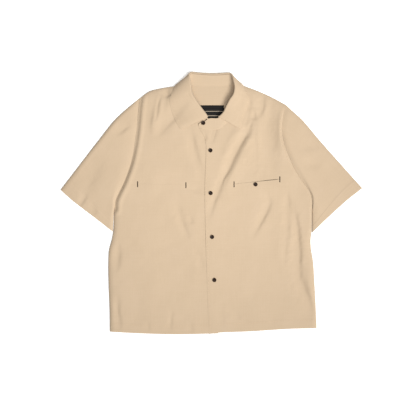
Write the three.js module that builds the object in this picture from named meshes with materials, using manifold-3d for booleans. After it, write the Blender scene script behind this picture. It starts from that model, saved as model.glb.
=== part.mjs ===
// A short-sleeve button-up shirt laid flat with its front up, as a maker would cut and sew it.
// Millimetres. +Z is up from the table, +Y runs from the hem to the collar, and +X points to the wearer's left.
// The origin is on the table, under the middle of the shirt, and the tables below are measured from within 2 mm of it.
// Right and left are the wearer's.
import * as THREE from 'three';
import { mergeVertices } from 'three/addons/utils/BufferGeometryUtils.js';
import Module from 'manifold-3d';

const wasm = await Module();
wasm.setup();

// Cloth
const CLOTH_WALL = 1.0; // one layer of shirting
const COLLAR_WALL = 1.4; // two layers of shirting with interlining
const SEAM_GAP = 0.3; // between two pieces at a seam
const SLEEVE_CLEARANCE = 0.4; // sideways, where that seam runs at a slant

// Levels of the middle of each layer over the table
const BACK_LEVEL = CLOTH_WALL / 2;
const FRONT_LEVEL = 4.8;
const SEWN_OVER_BACK = CLOTH_WALL + 2 * SEAM_GAP; // a front where it is sewn down to the back
const LOWEST_FRONT = 3.5; // the bottom of any trough
const SEAM_ROLL = 28; // width over which a front rolls down to a seam
const BACK_OVER_LEAF = 1.8; // how far the back rises where the collar leaf is under it
const NECK_RISE = { start: 205, length: 110, middle: -6, half: 112, ease: 95 }; // where it does so
const LAP_STEP = 0.9; // how far each front leaves the common level where the fronts lap
const LAP_HALF = 24; // half the width of that lap
const LAP_EASE = 26; // width over which that step dies out
const SLEEVE_LEVEL = { armhole: { right: 3.4, left: 4.4 }, middle: 4.4, cuff: 3.6 };
const FOLD_HEIGHT = 2 * CLOTH_WALL + 0.15; // a sleeve's tube where it turns over at its folded edge

// Buttons, pockets and label
const BUTTON_DIAMETER = 11.5;
const BUTTON_THICKNESS = 2.6;
const BUTTON_HOLE_DIAMETER = 1.7;
const BUTTON_HOLE_SPACING = 2.9;
const TACK_LENGTH = 15;
const TACK_WIDTH = 2.6;
const TACK_HEIGHT = 1.0;
const SLIT_WIDTH = 1.2;
const POCKET_DEPTH = 140;
const POCKET_ALLOWANCE = 7; // how far a pocket bag reaches past its mouth
const LABEL = { width: 68, height: 44, top: 276, middle: 1.7, wall: 1.0 };

// Mesh density, in steps along each edge
const SIDE_STEPS = 16;
const ARMHOLE_STEPS = 13;
const NECK_STEPS = 10;
const SHOULDER_STEPS = 6;
const BACK_NECK_STEPS = 6;
const SLEEVE_STEPS = 10;
const UNDERARM_CROWDING = 3; // how far the points of the underarm fold are drawn to the armhole
const STAND_STEPS = 3;

// The outline, as points from one corner to the next.
const SIDE = {
  right: [[-288.7, -368.4], [-289.6, -307], [-292.4, -236], [-293.3, -170], [-291.3, -136], [-284, -108], [-279.3, -82], [-276.5, -18]],
  left: [[299.5, -358], [297.5, -307], [293.8, -236], [289.6, -170], [283.5, -130], [282.4, -108], [285, -85], [286.4, -20]],
};
const ARMHOLE = {
  right: [[-276.5, -18], [-274, 6], [-267.4, 22], [-249, 61], [-229, 118], [-215, 192], [-209, 249], [-204.5, 296]],
  left: [[286.4, -20], [285.4, 8], [280, 28], [267, 48], [241, 86], [220, 132], [205.5, 172], [201, 206], [205, 249], [212, 277]],
};
const SHOULDER = {
  right: [[-204.5, 296], [-176.4, 315.6], [-146.5, 323.3], [-108, 329.5], [-90, 331.4]],
  left: [[212, 277], [183, 293], [167, 301], [133, 316], [93, 331]],
};
const HEM = {
  right: [[19, -373], [-104.6, -375.4], [-203.5, -372.6], [-288.7, -368.4]],
  left: [[-7.4, -374.5], [24, -370.5], [110, -367], [224, -360], [299.5, -358]],
  back: [[-288.7, -368.4], [-203.5, -372.6], [-104.6, -374.4], [24, -369.5], [110, -367], [224, -360], [299.5, -358]],
};
const FRONT_EDGE = {
  right: [[19, -373], [18, -235], [17, -93], [17, 35], [17, 202]],
  left: [[-7.4, -374.5], [-12.5, -236], [-16.8, -93], [-19, 35], [-16.2, 172], [-21, 186], [-34.5, 210.5]],
};
const NECK = {
  right: [[17, 202], [-12, 206], [-31, 216], [-43, 228], [-57, 244], [-73, 268], [-84, 299], [-88, 318], [-90, 331.4]],
  left: [[-34.5, 210.5], [-17, 205.5], [0, 203.5], [22, 206.5], [44, 224], [66, 250], [83, 278], [90, 303], [92, 320], [93, 331]],
  back: [[-90, 331.4], [-57, 330.6], [0, 329.4], [52, 330.4], [93, 331]],
};
const SLEEVE_TOP = {
  right: [[-204.5, 296], [-243, 264], [-274.7, 234.4], [-320.3, 177.4], [-429.5, 35.5]],
  left: [[212, 277], [226.9, 262.9], [258.2, 234.4], [306.7, 177.4], [429.3, 40]],
};
const SLEEVE_HEM = {
  right: [[-429.5, 35.5], [-397.3, 6.4], [-324, -50], [-281.4, -83.2]],
  left: [[429.3, 40], [386.5, 6.4], [323.8, -50.6], [287, -86.5]],
};
const UNDERARM_FOLD = {
  right: [[-276.5, -18], [-281.4, -83.2]],
  left: [[286.4, -20], [287, -86.5]],
};

// The largest folds of the fronts: a negative depth is a trough and a positive one a ridge.
const FRONT_FOLDS = [
  { name: 'long fold from the shoulder to the placket', depth: -3.0, halfWidth: 12,
    path: [[112, 285], [101, 220], [76, 149], [50, 86], [30, 29], [10, -14], [2, -48]] },
  { name: 'rise beside the long fold', depth: 1.8, halfWidth: 20, path: [[138, 236], [112, 158], [86, 92], [62, 30]] },
  { name: 'hollow before the left armhole', depth: -2.4, halfWidth: 15, path: [[161, 280], [170, 206], [178, 120], [193, 52]] },
  { name: 'ridge at the left shoulder', depth: 2.0, halfWidth: 9, path: [[153, 285], [144, 240], [140, 205]] },
  { name: 'curve below the left pocket', depth: -2.4, halfWidth: 9, path: [[161, 20], [158, -14], [144, -51], [119, -93]] },
  { name: 'left side fold, inner', depth: -2.0, halfWidth: 9, path: [[217, 12], [215, -36], [218, -90]] },
  { name: 'left side fold, outer', depth: -2.5, halfWidth: 9, path: [[244, -66], [245, -136], [250, -193], [254, -236], [276, -284]] },
  { name: 'left side ridge', depth: 1.8, halfWidth: 8, path: [[231, -50], [230, -108], [232, -180]] },
  { name: 'ridge at the right shoulder', depth: 2.2, halfWidth: 10, path: [[-158, 304], [-165, 257], [-169, 206]] },
  { name: 'crease at the right shoulder', depth: -2.2, halfWidth: 8, path: [[-143, 296], [-153, 250]] },
  { name: 'hollow below the right collar point', depth: -1.8, halfWidth: 15, path: [[-100, 232], [-130, 212], [-152, 198]] },
  { name: 'fan towards the placket', depth: -1.6, halfWidth: 11, path: [[-60, 200], [-44, 143], [-28, 84]] },
  { name: 'waist crease', depth: -1.6, halfWidth: 9, path: [[-95, -25], [-81, -65], [-66, -100]] },
  { name: 'right side fold', depth: -1.8, halfWidth: 9, path: [[-262, -134], [-264, -170], [-274, -210], [-272, -300], [-264, -350]] },
];
const SLEEVE_FOLDS = [
  { name: 'crease on the right sleeve', depth: -1.5, halfWidth: 10, path: [[-258, 200], [-236, 219]] },
  { name: 'crease at the right cuff', depth: -1.2, halfWidth: 9, path: [[-378, -8], [-355, 18]] },
  { name: 'upper dimple on the left sleeve', depth: -1.4, halfWidth: 11, path: [[276, 134], [300, 142]] },
  { name: 'lower dimple on the left sleeve', depth: -1.4, halfWidth: 11, path: [[276, 104], [304, 116]] },
];

// The collar, section by section from the under end of its stand, round the back, to the end that buttons over.
// The stand runs from the seam up to its top, and the leaf turns over the top and falls to the edge, where there is one.
// Each top is given with its height over the table, and what the section lies on sets the height of its seam and edge.
const COLLAR_SECTIONS = [
  { on: 'right', top: [13, 233, 6.3], seam: [11, 207] },
  { on: 'right', top: [-5, 236, 6.6], seam: [-13, 209] },
  { on: 'right', top: [-16, 243, 9.0], seam: [-30, 219], edge: [-86, 206] },
  { on: 'right', top: [-22, 252, 11.5], seam: [-42, 230.5], edge: [-93, 214] },
  { on: 'right', top: [-33, 268, 15], seam: [-56, 246.5], edge: [-104, 235] },
  { on: 'right', top: [-46, 287, 18.5], seam: [-72, 270.5], edge: [-114, 262] },
  { on: 'right', top: [-58, 307, 21], seam: [-85, 300], edge: [-119, 290] },
  { on: 'right', top: [-62, 329, 21.5], seam: [-88, 320.5], edge: [-112.5, 311] },
  { on: 'right', top: [-63, 347, 19], seam: [-83, 332.8], edge: [-107, 325] },
  { on: 'fold', top: [-62, 360, 14.5], seam: [-70, 332.4], edge: [-101, 335] },
  { on: 'back', top: [-57, 365, 11], seam: [-57, 332], edge: [-86, 329] },
  { on: 'back', top: [-43, 364.5, 9.4], seam: [-40, 331.5], edge: [-62, 322] },
  { on: 'back', top: [-22, 362.5, 8.6], seam: [-20, 331], edge: [-28, 320] },
  { on: 'back', top: [2, 361.5, 8.4], seam: [0, 330.8], edge: [2, 319] },
  { on: 'back', top: [24, 362, 8.6], seam: [20, 331], edge: [30, 320] },
  { on: 'back', top: [40, 363, 9.4], seam: [37, 331.5], edge: [58, 322] },
  { on: 'back', top: [52, 363, 11], seam: [53, 332], edge: [76, 329] },
  { on: 'fold', top: [58, 357, 14.5], seam: [66, 333.4], edge: [87, 336] },
  { on: 'left', top: [64, 345, 19], seam: [79, 334.4], edge: [94, 328] },
  { on: 'left', top: [69, 327, 21.5], seam: [91, 322.5], edge: [103, 309] },
  { on: 'left', top: [66, 307, 20.5], seam: [92, 304], edge: [109, 288] },
  { on: 'left', top: [56, 291, 18.5], seam: [83, 279.5], edge: [101, 266] },
  { on: 'left', top: [45, 270, 15], seam: [65, 251.5], edge: [93, 242] },
  { on: 'left', top: [35, 252, 12.5], seam: [43.2, 225.4], edge: [87, 221] },
  { on: 'left', top: [20, 239.5, 10.8], seam: [21.6, 208], edge: [84, 207] },
  { on: 'left', top: [-3, 238.6, 9.6], seam: [0, 205] },
  { on: 'left', top: [-15, 235.5, 9.2], seam: [-17, 207] },
  { on: 'left', top: [-27, 229.4, 9.0], seam: [-30, 210.6] },
  { on: 'left', top: [-37, 221.5, 8.8], seam: [-35.5, 214.5] },
];
const LEAF_RISE = 3.2; // from the stand's top to where the leaf turns over
const LEAF_TURN_RADIUS = 2.1;
const LEAF_CROWN = 2.6; // how far the falling leaf bows up between its turn and its edge
const LEAF_TURN_ANGLES = [0, 50, 100, 145]; // degrees
const LEAF_FALL_SHARES = [0.18, 0.36, 0.56, 0.78, 1]; // places along the fall
const LEAF_EDGE_CLEARANCE = 1.1; // over the uneven front that the leaf lies on
const LEAF_UNDER_BACK = COLLAR_WALL / 2;

const POCKETS = {
  right: { from: [-209.8, 52], to: [-72.4, 49.2] },
  left: { from: [64.4, 51.8], to: [194.5, 66] },
};
const FRONT_BUTTONS = [[-2.6, 147.2], [-2, 25.8], [2, -98.7], [8.5, -221]];
const NECK_BUTTON = [-23.4, 222, 9.6]; // with its height over the table, on the sloping stand
const POCKET_BUTTON = [125.5, 50.6];
const BUTTON_SPIN = [0.3, 0.9, 0.1, 0.6, 1.2, 0.4]; // radians, each as its thread was sewn

// Curves and distances

const clamp = (value, low, high) => Math.min(high, Math.max(low, value));
const ease = (t) => t * t * (3 - 2 * t);
const mix = (a, b, t) => a + (b - a) * t;
const at = ([x, y], z = 0) => new THREE.Vector3(x, y, z);

// A smooth line through some points, cut into equal steps.
function steps(points, count) {
  const line = new THREE.CatmullRomCurve3(points.map((point) => at(point)), false, 'centripetal');
  return line.getSpacedPoints(count);
}

// Several lines of steps joined end to end.
const joined = (...lines) => lines.flatMap((line, k) => (k ? line.slice(1) : line));

// A line of steps as a function of its share from 0 to 1.
function along(points) {
  return (t) => {
    const place = clamp(t, 0, 1) * (points.length - 1);
    const k = Math.min(Math.floor(place), points.length - 2);
    return points[k].clone().lerp(points[k + 1], place - k);
  };
}

// Distance from a place to a path, and how far along the path its foot lies, from 0 to 1.
function toPath(x, y, path) {
  let nearest = Infinity;
  let reached = 0;
  let total = 0;
  path.slice(1).forEach(([bx, by], i) => {
    const [ax, ay] = path[i];
    const length = Math.hypot(bx - ax, by - ay);
    const t = clamp(((x - ax) * (bx - ax) + (y - ay) * (by - ay)) / (length * length), 0, 1);
    const distance = Math.hypot(x - mix(ax, bx, t), y - mix(ay, by, t));
    if (distance < nearest) {
      nearest = distance;
      reached = total + t * length;
    }
    total += length;
  });
  return { distance: nearest, foot: reached / total };
}

function foldHeight(x, y, folds) {
  return folds.reduce((sum, { path, depth, halfWidth }) => {
    const { distance, foot } = toPath(x, y, path);
    if (distance > 3 * halfWidth) return sum;
    const fade = 0.35 + 0.65 * Math.sin(Math.PI * foot);
    return sum + depth * fade * Math.exp(-((distance / halfWidth) ** 2));
  }, 0);
}

// Heights of the layers over the table

// The back rests on the table, but rises gently at its neck, where it lies on the leaf of the collar.
function neckRise(x, y) {
  const up = ease(clamp((y - NECK_RISE.start) / NECK_RISE.length, 0, 1));
  const across = 1 - ease(clamp((Math.abs(x - NECK_RISE.middle) - NECK_RISE.half) / NECK_RISE.ease, 0, 1));
  return BACK_OVER_LEAF * up * across;
}
const backLevel = (x, y) => BACK_LEVEL + neckRise(x, y);

const SEAMS = [SIDE.right, SIDE.left, SHOULDER.right, SHOULDER.left];

// Where the two fronts lap, one goes under and the other over by the same step.
function lapShare(x, y) {
  const middle = (FRONT_EDGE.left[2][0] + FRONT_EDGE.right[2][0]) / 2;
  const outside = Math.max(0, Math.abs(x - middle) - LAP_HALF);
  return 1 - ease(clamp(outside / LAP_EASE, 0, 1));
}

function frontLevel(x, y, step) {
  const rise = neckRise(x, y);
  const lap = lapShare(x, y);
  const folded = Math.max(LOWEST_FRONT, FRONT_LEVEL + foldHeight(x, y, FRONT_FOLDS) * (1 - lap));
  const sewn = BACK_LEVEL + SEWN_OVER_BACK;
  const fromSeam = clamp(Math.min(...SEAMS.map((seam) => toPath(x, y, seam).distance)) / SEAM_ROLL, 0, 1);
  return rise + mix(sewn, folded, Math.sqrt(1 - (1 - fromSeam) ** 2)) + step * lap;
}
const LEVELS = {
  right: (x, y) => frontLevel(x, y, -LAP_STEP),
  left: (x, y) => frontLevel(x, y, LAP_STEP),
  back: backLevel,
};

// Solids

// A patch between four edges: its middle is blended from them, so it follows every edge.
function patch(bottom, top, left, right) {
  const [low, high, start, end] = [bottom, top, left, right].map(along);
  return (u, v) => {
    const across = start(v).multiplyScalar(1 - u).add(end(v).multiplyScalar(u));
    const upwards = low(u).multiplyScalar(1 - v).add(high(u).multiplyScalar(v));
    const corners = low(0).multiplyScalar((1 - u) * (1 - v)).add(low(1).multiplyScalar(u * (1 - v)))
      .add(high(0).multiplyScalar((1 - u) * v)).add(high(1).multiplyScalar(u * v));
    return across.add(upwards).sub(corners);
  };
}

// A flat-laid panel as a closed wall: the rows of a patch at the level of their layer.
function panel(place, level, columns, rows, wall) {
  const layer = (offset) => Array.from({ length: rows + 1 }, (_, j) => Array.from({ length: columns + 1 }, (__, i) => {
    const p = place(i / columns, j / rows);
    return p.setZ(level(p.x, p.y) + offset);
  }));
  return shellOf(layer(wall / 2), layer(-wall / 2));
}

// A rectangle of cloth as a patch.
function rectangle(left, bottom, right, top) {
  const side = (from, to) => steps([from, to], 1);
  return patch(side([left, bottom], [right, bottom]), side([left, top], [right, top]),
    side([left, bottom], [left, top]), side([right, bottom], [right, top]));
}

// The normals of a grid of points, from its neighbours.
function gridNormals(rows) {
  return rows.map((row, j) => row.map((_, i) => {
    const du = row[Math.min(i + 1, row.length - 1)].clone().sub(row[Math.max(i - 1, 0)]);
    const dv = rows[Math.min(j + 1, rows.length - 1)][i].clone().sub(rows[Math.max(j - 1, 0)][i]);
    return du.cross(dv).normalize();
  }));
}

// A closed wall round a grid of middle points, even on a steep piece.
function wallOf(rows, wall) {
  const normals = gridNormals(rows);
  const side = (offset) => rows.map((row, j) => row.map((p, i) => p.clone().addScaledVector(normals[j][i], offset)));
  return shellOf(side(wall / 2), side(-wall / 2));
}

// A closed solid between an upper and a lower grid of the same size.
function shellOf(upper, lower) {
  const height = upper.length;
  const width = upper[0].length;
  const top = (i, j) => j * width + i;
  const under = (i, j) => height * width + j * width + i;
  const faces = [];
  const quad = (a, b, c, d) => faces.push(a, b, c, a, c, d);
  for (let j = 0; j < height - 1; j++) {
    for (let i = 0; i < width - 1; i++) {
      quad(top(i, j), top(i + 1, j), top(i + 1, j + 1), top(i, j + 1));
      quad(under(i, j), under(i, j + 1), under(i + 1, j + 1), under(i + 1, j));
    }
  }
  for (let i = 0; i < width - 1; i++) {
    quad(under(i, 0), under(i + 1, 0), top(i + 1, 0), top(i, 0));
    quad(top(i, height - 1), top(i + 1, height - 1), under(i + 1, height - 1), under(i, height - 1));
  }
  for (let j = 0; j < height - 1; j++) {
    quad(top(0, j), top(0, j + 1), under(0, j + 1), under(0, j));
    quad(under(width - 1, j), under(width - 1, j + 1), top(width - 1, j + 1), top(width - 1, j));
  }
  return facingOut([...upper.flat(), ...lower.flat()], faces);
}

// A tube wall between two stacks of closed rings of the same size.
function tubeOf(outer, inner) {
  const sections = outer.length;
  const around = outer[0].length;
  const out = (k, j) => j * around + (k % around);
  const into = (k, j) => sections * around + j * around + (k % around);
  const faces = [];
  const quad = (a, b, c, d) => faces.push(a, b, c, a, c, d);
  for (let k = 0; k < around; k++) {
    for (let j = 0; j < sections - 1; j++) {
      quad(out(k, j), out(k + 1, j), out(k + 1, j + 1), out(k, j + 1));
      quad(into(k, j), into(k, j + 1), into(k + 1, j + 1), into(k + 1, j));
    }
    quad(into(k, 0), into(k + 1, 0), out(k + 1, 0), out(k, 0));
    quad(out(k, sections - 1), out(k + 1, sections - 1), into(k + 1, sections - 1), into(k, sections - 1));
  }
  return facingOut([...outer.flat(), ...inner.flat()], faces);
}

// A left piece is made as the mirror of a right one, so the faces of a solid are turned outwards where they aren't.
function facingOut(points, faces) {
  let volume = 0;
  for (let k = 0; k < faces.length; k += 3) {
    const [a, b, c] = faces.slice(k, k + 3).map((index) => points[index]);
    volume += a.dot(b.clone().cross(c));
  }
  return geometryOf(points.flatMap((p) => [p.x, p.y, p.z]), volume < 0 ? faces.reverse() : faces);
}

function geometryOf(positions, faces) {
  const geometry = new THREE.BufferGeometry();
  geometry.setAttribute('position', new THREE.Float32BufferAttribute(positions, 3));
  geometry.setIndex(faces);
  return geometry;
}

function solidOf(geometry) {
  const bare = geometry.clone();
  bare.deleteAttribute('normal');
  bare.deleteAttribute('uv');
  const merged = mergeVertices(bare, 1e-4);
  return new wasm.Manifold(new wasm.Mesh({
    numProp: 3,
    vertProperties: new Float32Array(merged.attributes.position.array),
    triVerts: new Uint32Array(merged.index.array),
  }));
}

function geometryFrom(solid) {
  const { vertProperties, triVerts } = solid.getMesh();
  return geometryOf(Array.from(vertProperties), Array.from(triVerts));
}

// Pieces

const outerEdge = (side) => joined(steps(SIDE[side], SIDE_STEPS), steps(ARMHOLE[side], ARMHOLE_STEPS));
const PANEL_ROWS = SIDE_STEPS + ARMHOLE_STEPS;
const FRONT_COLUMNS = NECK_STEPS + SHOULDER_STEPS;
const BACK_COLUMNS = 2 * SHOULDER_STEPS + BACK_NECK_STEPS;

function backPanel() {
  const shoulders = (side) => steps(SHOULDER[side], SHOULDER_STEPS);
  const place = patch(
    steps(HEM.back, BACK_COLUMNS),
    joined(shoulders('right'), steps(NECK.back, BACK_NECK_STEPS), shoulders('left').reverse()),
    outerEdge('right'),
    outerEdge('left'),
  );
  return panel(place, backLevel, BACK_COLUMNS, PANEL_ROWS, CLOTH_WALL);
}

function frontPanel(side) {
  const place = patch(
    steps(HEM[side], FRONT_COLUMNS),
    joined(steps(NECK[side], NECK_STEPS), steps(SHOULDER[side], SHOULDER_STEPS).reverse()),
    steps(FRONT_EDGE[side], PANEL_ROWS),
    outerEdge(side),
  );
  const whole = solidOf(panel(place, LEVELS[side], FRONT_COLUMNS, PANEL_ROWS, CLOTH_WALL));
  return geometryFrom(whole.subtract(pocketSlit(POCKETS[side])));
}

// The pocket's mouth is a slit between its two bar tacks.
function pocketSlit({ from, to }) {
  const length = Math.hypot(to[0] - from[0], to[1] - from[1]) - TACK_WIDTH;
  const slit = new THREE.BoxGeometry(length, SLIT_WIDTH, 4 * FRONT_LEVEL);
  slit.rotateZ(Math.atan2(to[1] - from[1], to[0] - from[0]));
  slit.translate((from[0] + to[0]) / 2, (from[1] + to[1]) / 2, FRONT_LEVEL);
  return solidOf(slit);
}

// The pocket bag hangs inside the front from just over the slit.
function pocketBag({ from, to }) {
  const top = Math.max(from[1], to[1]) + POCKET_ALLOWANCE;
  const place = rectangle(from[0] - POCKET_ALLOWANCE, top - POCKET_DEPTH, to[0] + POCKET_ALLOWANCE, top);
  return panel(place, () => BACK_LEVEL + CLOTH_WALL + SEAM_GAP, 3, 3, CLOTH_WALL);
}

// A sleeve is one tube of cloth pressed flat: its upper layer carries the folds and its under layer rests on the table.
function sleeve(side) {
  const away = new THREE.Vector3((side === 'right' ? -1 : 1) * SLEEVE_CLEARANCE, 0, 0);
  const seam = steps(ARMHOLE[side], ARMHOLE_STEPS).reverse().map((p) => p.add(away));
  const top = steps(SLEEVE_TOP[side], SLEEVE_STEPS).map((p, k) => p.addScaledVector(away, 1 - k / SLEEVE_STEPS));
  const [underarm, hemEnd] = UNDERARM_FOLD[side].map((p) => at(p).add(away));
  const fold = top.map((_, k) => underarm.clone().lerp(hemEnd, (k / SLEEVE_STEPS) ** UNDERARM_CROWDING));
  const place = patch(seam, joined(steps(SLEEVE_HEM[side], ARMHOLE_STEPS).slice(0, -1), [hemEnd, hemEnd]), top, fold);
  const rings = (inset) => Array.from({ length: SLEEVE_STEPS + 1 }, (_, j) => {
    const share = j / SLEEVE_STEPS;
    return sleeveRing((s) => place(s, share), sleeveLevels(side, share), inset);
  });
  return tubeOf(rings(0), rings(CLOTH_WALL));
}

// The level of a sleeve's upper layer between its armhole and its cuff.
function sleeveLevels(side, share) {
  const { armhole, middle, cuff } = SLEEVE_LEVEL;
  const ends = mix(armhole[side], cuff, share);
  return mix(ends, middle, Math.sin(Math.PI * share));
}

// One ring of a sleeve, set in from its outside by the inset.
function sleeveRing(place, level, inset) {
  const width = place(0).distanceTo(place(1));
  const edge = (1.2 * inset) / width;
  const across = Array.from({ length: ARMHOLE_STEPS + 1 }, (_, i) => clamp(i / ARMHOLE_STEPS, edge, 1 - edge));
  const upper = across.map((s) => {
    const p = place(s);
    const fromFold = clamp((Math.min(s, 1 - s) * width) / SEAM_ROLL, 0, 1);
    const folded = Math.max(LOWEST_FRONT - 1, level + foldHeight(p.x, p.y, SLEEVE_FOLDS)) + CLOTH_WALL / 2;
    return p.setZ(mix(FOLD_HEIGHT, folded, Math.sqrt(1 - (1 - fromFold) ** 2)) - inset);
  });
  const under = across.map((s) => place(s).setZ(inset)).reverse();
  return [...upper, ...under];
}

// Where a section of the collar lies, its seam is sewn just over the layer there.
function seamHeight(on, x, y) {
  if (on !== 'fold') return LEVELS[on](x, y);
  return backLevel(x, y) - CLOTH_WALL / 2;
}

// The collar's sections, with as many again between them.
function collarSections() {
  const overLayer = CLOTH_WALL / 2 + SEAM_GAP + COLLAR_WALL / 2;
  const rows = COLLAR_SECTIONS.map(({ on, top, seam, edge }) => ({
    top: new THREE.Vector3(...top),
    seam: at(seam, seamHeight(on, ...seam) + overLayer),
    edge: edge && at(edge, on === 'back' ? LEAF_UNDER_BACK
      : seamHeight(on, ...edge) + (on === 'fold' ? 0 : overLayer + LEAF_EDGE_CLEARANCE)),
  }));
  const through = (points) => new THREE.CatmullRomCurve3(points, false, 'centripetal');
  const first = rows.findIndex((row) => row.edge);
  const last = rows.findLastIndex((row) => row.edge);
  const top = through(rows.map((row) => row.top));
  const seam = through(rows.map((row) => row.seam));
  const edge = through(rows.slice(first, last + 1).map((row) => row.edge));
  const count = 2 * (rows.length - 1);
  return Array.from({ length: count + 1 }, (_, k) => {
    const place = k / 2;
    const hasLeaf = place >= first && place <= last;
    return {
      top: top.getPoint(k / count),
      seam: seam.getPoint(k / count),
      edge: hasLeaf ? edge.getPoint((place - first) / (last - first)) : null,
    };
  });
}

const standRow = ({ top, seam }) => Array.from({ length: STAND_STEPS + 1 }, (_, i) => seam.clone().lerp(top, i / STAND_STEPS));

// The leaf leaves the stand's top, turns over and falls to its edge, crowned on top and flat where it is tucked under.
function leafRows(sections) {
  const stand = sections.map(({ top, seam }) => [seam, top]);
  const outwards = gridNormals(stand).map((row) => row[1]);
  const rows = [];
  sections.forEach(({ top, seam, edge }, k) => {
    if (!edge) return;
    const rise = top.clone().sub(seam).normalize();
    const start = top.clone().addScaledVector(rise, SEAM_GAP + 0.2);
    const centre = top.clone().addScaledVector(rise, LEAF_RISE).addScaledVector(outwards[k], LEAF_TURN_RADIUS);
    const turn = LEAF_TURN_ANGLES.map((degrees) => {
      const angle = THREE.MathUtils.degToRad(degrees);
      return centre.clone().addScaledVector(outwards[k], -LEAF_TURN_RADIUS * Math.cos(angle))
        .addScaledVector(rise, LEAF_TURN_RADIUS * Math.sin(angle));
    });
    const from = turn.at(-1);
    const overFront = ease(clamp((edge.z - 1.5) / 4, 0, 1));
    const fall = LEAF_FALL_SHARES.map((t) => {
      const tucked = mix(from.z, edge.z, 1 - (1 - t) ** 3.2);
      const crowned = mix(from.z, edge.z, t) + LEAF_CROWN * Math.sin(Math.PI * t);
      return from.clone().lerp(edge, t).setZ(Math.max(COLLAR_WALL / 2, mix(tucked, crowned, overFront)));
    });
    rows.push([start, ...turn, ...fall]);
  });
  return rows;
}

// A four-hole button with a raised rim, turned on a lathe, its underside at its own origin.
function button() {
  const r = BUTTON_DIAMETER / 2;
  const h = BUTTON_THICKNESS;
  const profile = [[0, 0], [0.72 * r, 0], [r, 0.38 * h], [r, 0.66 * h], [0.88 * r, h], [0.74 * r, h], [0.6 * r, 0.72 * h], [0, 0.66 * h]];
  const disc = new THREE.LatheGeometry(profile.map(([x, y]) => new THREE.Vector2(x, y)), 18);
  disc.rotateX(Math.PI / 2);
  let solid = solidOf(disc);
  for (let k = 0; k < 4; k++) {
    const hole = new THREE.CylinderGeometry(BUTTON_HOLE_DIAMETER / 2, BUTTON_HOLE_DIAMETER / 2, 4 * h, 6);
    hole.rotateX(Math.PI / 2);
    const angle = Math.PI / 4 + (k * Math.PI) / 2;
    const reach = Math.SQRT1_2 * BUTTON_HOLE_SPACING;
    hole.translate(reach * Math.cos(angle), reach * Math.sin(angle), 0);
    solid = solid.subtract(solidOf(hole));
  }
  return geometryFrom(solid);
}

// A bar tack: thread wound to and fro over the slit's end, as a low rounded bar.
function barTack() {
  const half = TACK_WIDTH / 2;
  const outline = new THREE.Shape([[-half, 0], [half, 0], [half, 0.6 * TACK_HEIGHT], [0.4 * half, TACK_HEIGHT],
    [-0.4 * half, TACK_HEIGHT], [-half, 0.6 * TACK_HEIGHT]].map(([x, y]) => new THREE.Vector2(x, y)));
  const bar = new THREE.ExtrudeGeometry(outline, { depth: TACK_LENGTH, bevelEnabled: false });
  bar.translate(0, 0, -TACK_LENGTH / 2);
  bar.rotateX(Math.PI / 2);
  return bar;
}

function neckLabel() {
  const { width, height, top, middle, wall } = LABEL;
  const place = rectangle(middle - width / 2, top - height, middle + width / 2, top);
  return panel(place, (x, y) => backLevel(x, y) + CLOTH_WALL / 2 + SEAM_GAP + wall / 2 + 0.1, 4, 3, wall);
}

// Assembly

const shirting = new THREE.MeshStandardMaterial({ color: 0xe0c4a4, roughness: 0.92, metalness: 0 });
const horn = new THREE.MeshStandardMaterial({ color: 0x3b2413, roughness: 0.35, metalness: 0 });
const tackThread = new THREE.MeshStandardMaterial({ color: 0x5e4530, roughness: 0.8, metalness: 0 });
const labelCloth = new THREE.MeshStandardMaterial({ color: 0x15120f, roughness: 0.7, metalness: 0 });

const shirt = new THREE.Group();

function add(name, geometry, material, place = [0, 0, 0], turn = 0) {
  const mesh = new THREE.Mesh(geometry, material);
  mesh.name = name;
  mesh.position.set(...place);
  mesh.rotation.z = turn;
  shirt.add(mesh);
}

// The height of a small piece that lies on a front: just over the highest cloth that it covers.
function onFront(side, x, y, reachX, reachY) {
  const under = [-1, 0, 1].flatMap((i) => [-1, 0, 1].map((j) => LEVELS[side](x + i * reachX, y + j * reachY)));
  return Math.max(...under) + CLOTH_WALL / 2 + 2 * SEAM_GAP;
}

const sections = collarSections();
add('back_panel', backPanel(), shirting);
add('front_right', frontPanel('right'), shirting);
add('front_left', frontPanel('left'), shirting);
add('sleeve_right', sleeve('right'), shirting);
add('sleeve_left', sleeve('left'), shirting);
add('collar_stand', wallOf(sections.map(standRow), COLLAR_WALL), shirting);
add('collar_leaf', wallOf(leafRows(sections), COLLAR_WALL), shirting);
add('pocket_bag_right', pocketBag(POCKETS.right), shirting);
add('pocket_bag_left', pocketBag(POCKETS.left), shirting);
add('neck_label', neckLabel(), labelCloth);

const buttonReach = BUTTON_DIAMETER / 2;
[...FRONT_BUTTONS, POCKET_BUTTON].forEach(([x, y], k) => {
  const name = k < FRONT_BUTTONS.length ? `button_front_${k + 1}` : 'button_pocket';
  add(name, button(), horn, [x, y, onFront('left', x, y, buttonReach, buttonReach)], BUTTON_SPIN[k]);
});
add('button_neck', button(), horn, NECK_BUTTON, BUTTON_SPIN.at(-1));

for (const [side, pocket] of Object.entries(POCKETS)) {
  Object.values(pocket).forEach(([x, y], k) => {
    add(`bar_tack_${side}_${k + 1}`, barTack(), tackThread, [x, y - 1, onFront(side, x, y - 1, 1, TACK_LENGTH / 2)]);
  });
}

// The shirt is centred over its origin.
const centre = new THREE.Box3().setFromObject(shirt).getCenter(new THREE.Vector3());
shirt.position.set(-centre.x, -centre.y, 0);

export default shirt;
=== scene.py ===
# %% [markdown]
# # A short-sleeve shirt, laid flat and buttoned
#
# The real thing is a boxy shirt in plain, soft shirting, laid on its back and smoothed by hand. Its cloth
# is one continuous, slightly uneven skin over a gentle cushion of air, so nothing in it is truly flat. This
# script dresses the fixed frame of the shirt: each stiff panel of the frame is replaced by a thin shell of
# cloth that has the same outline, soft folds and rolled edges, with its sewing on top.

import math

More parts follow.
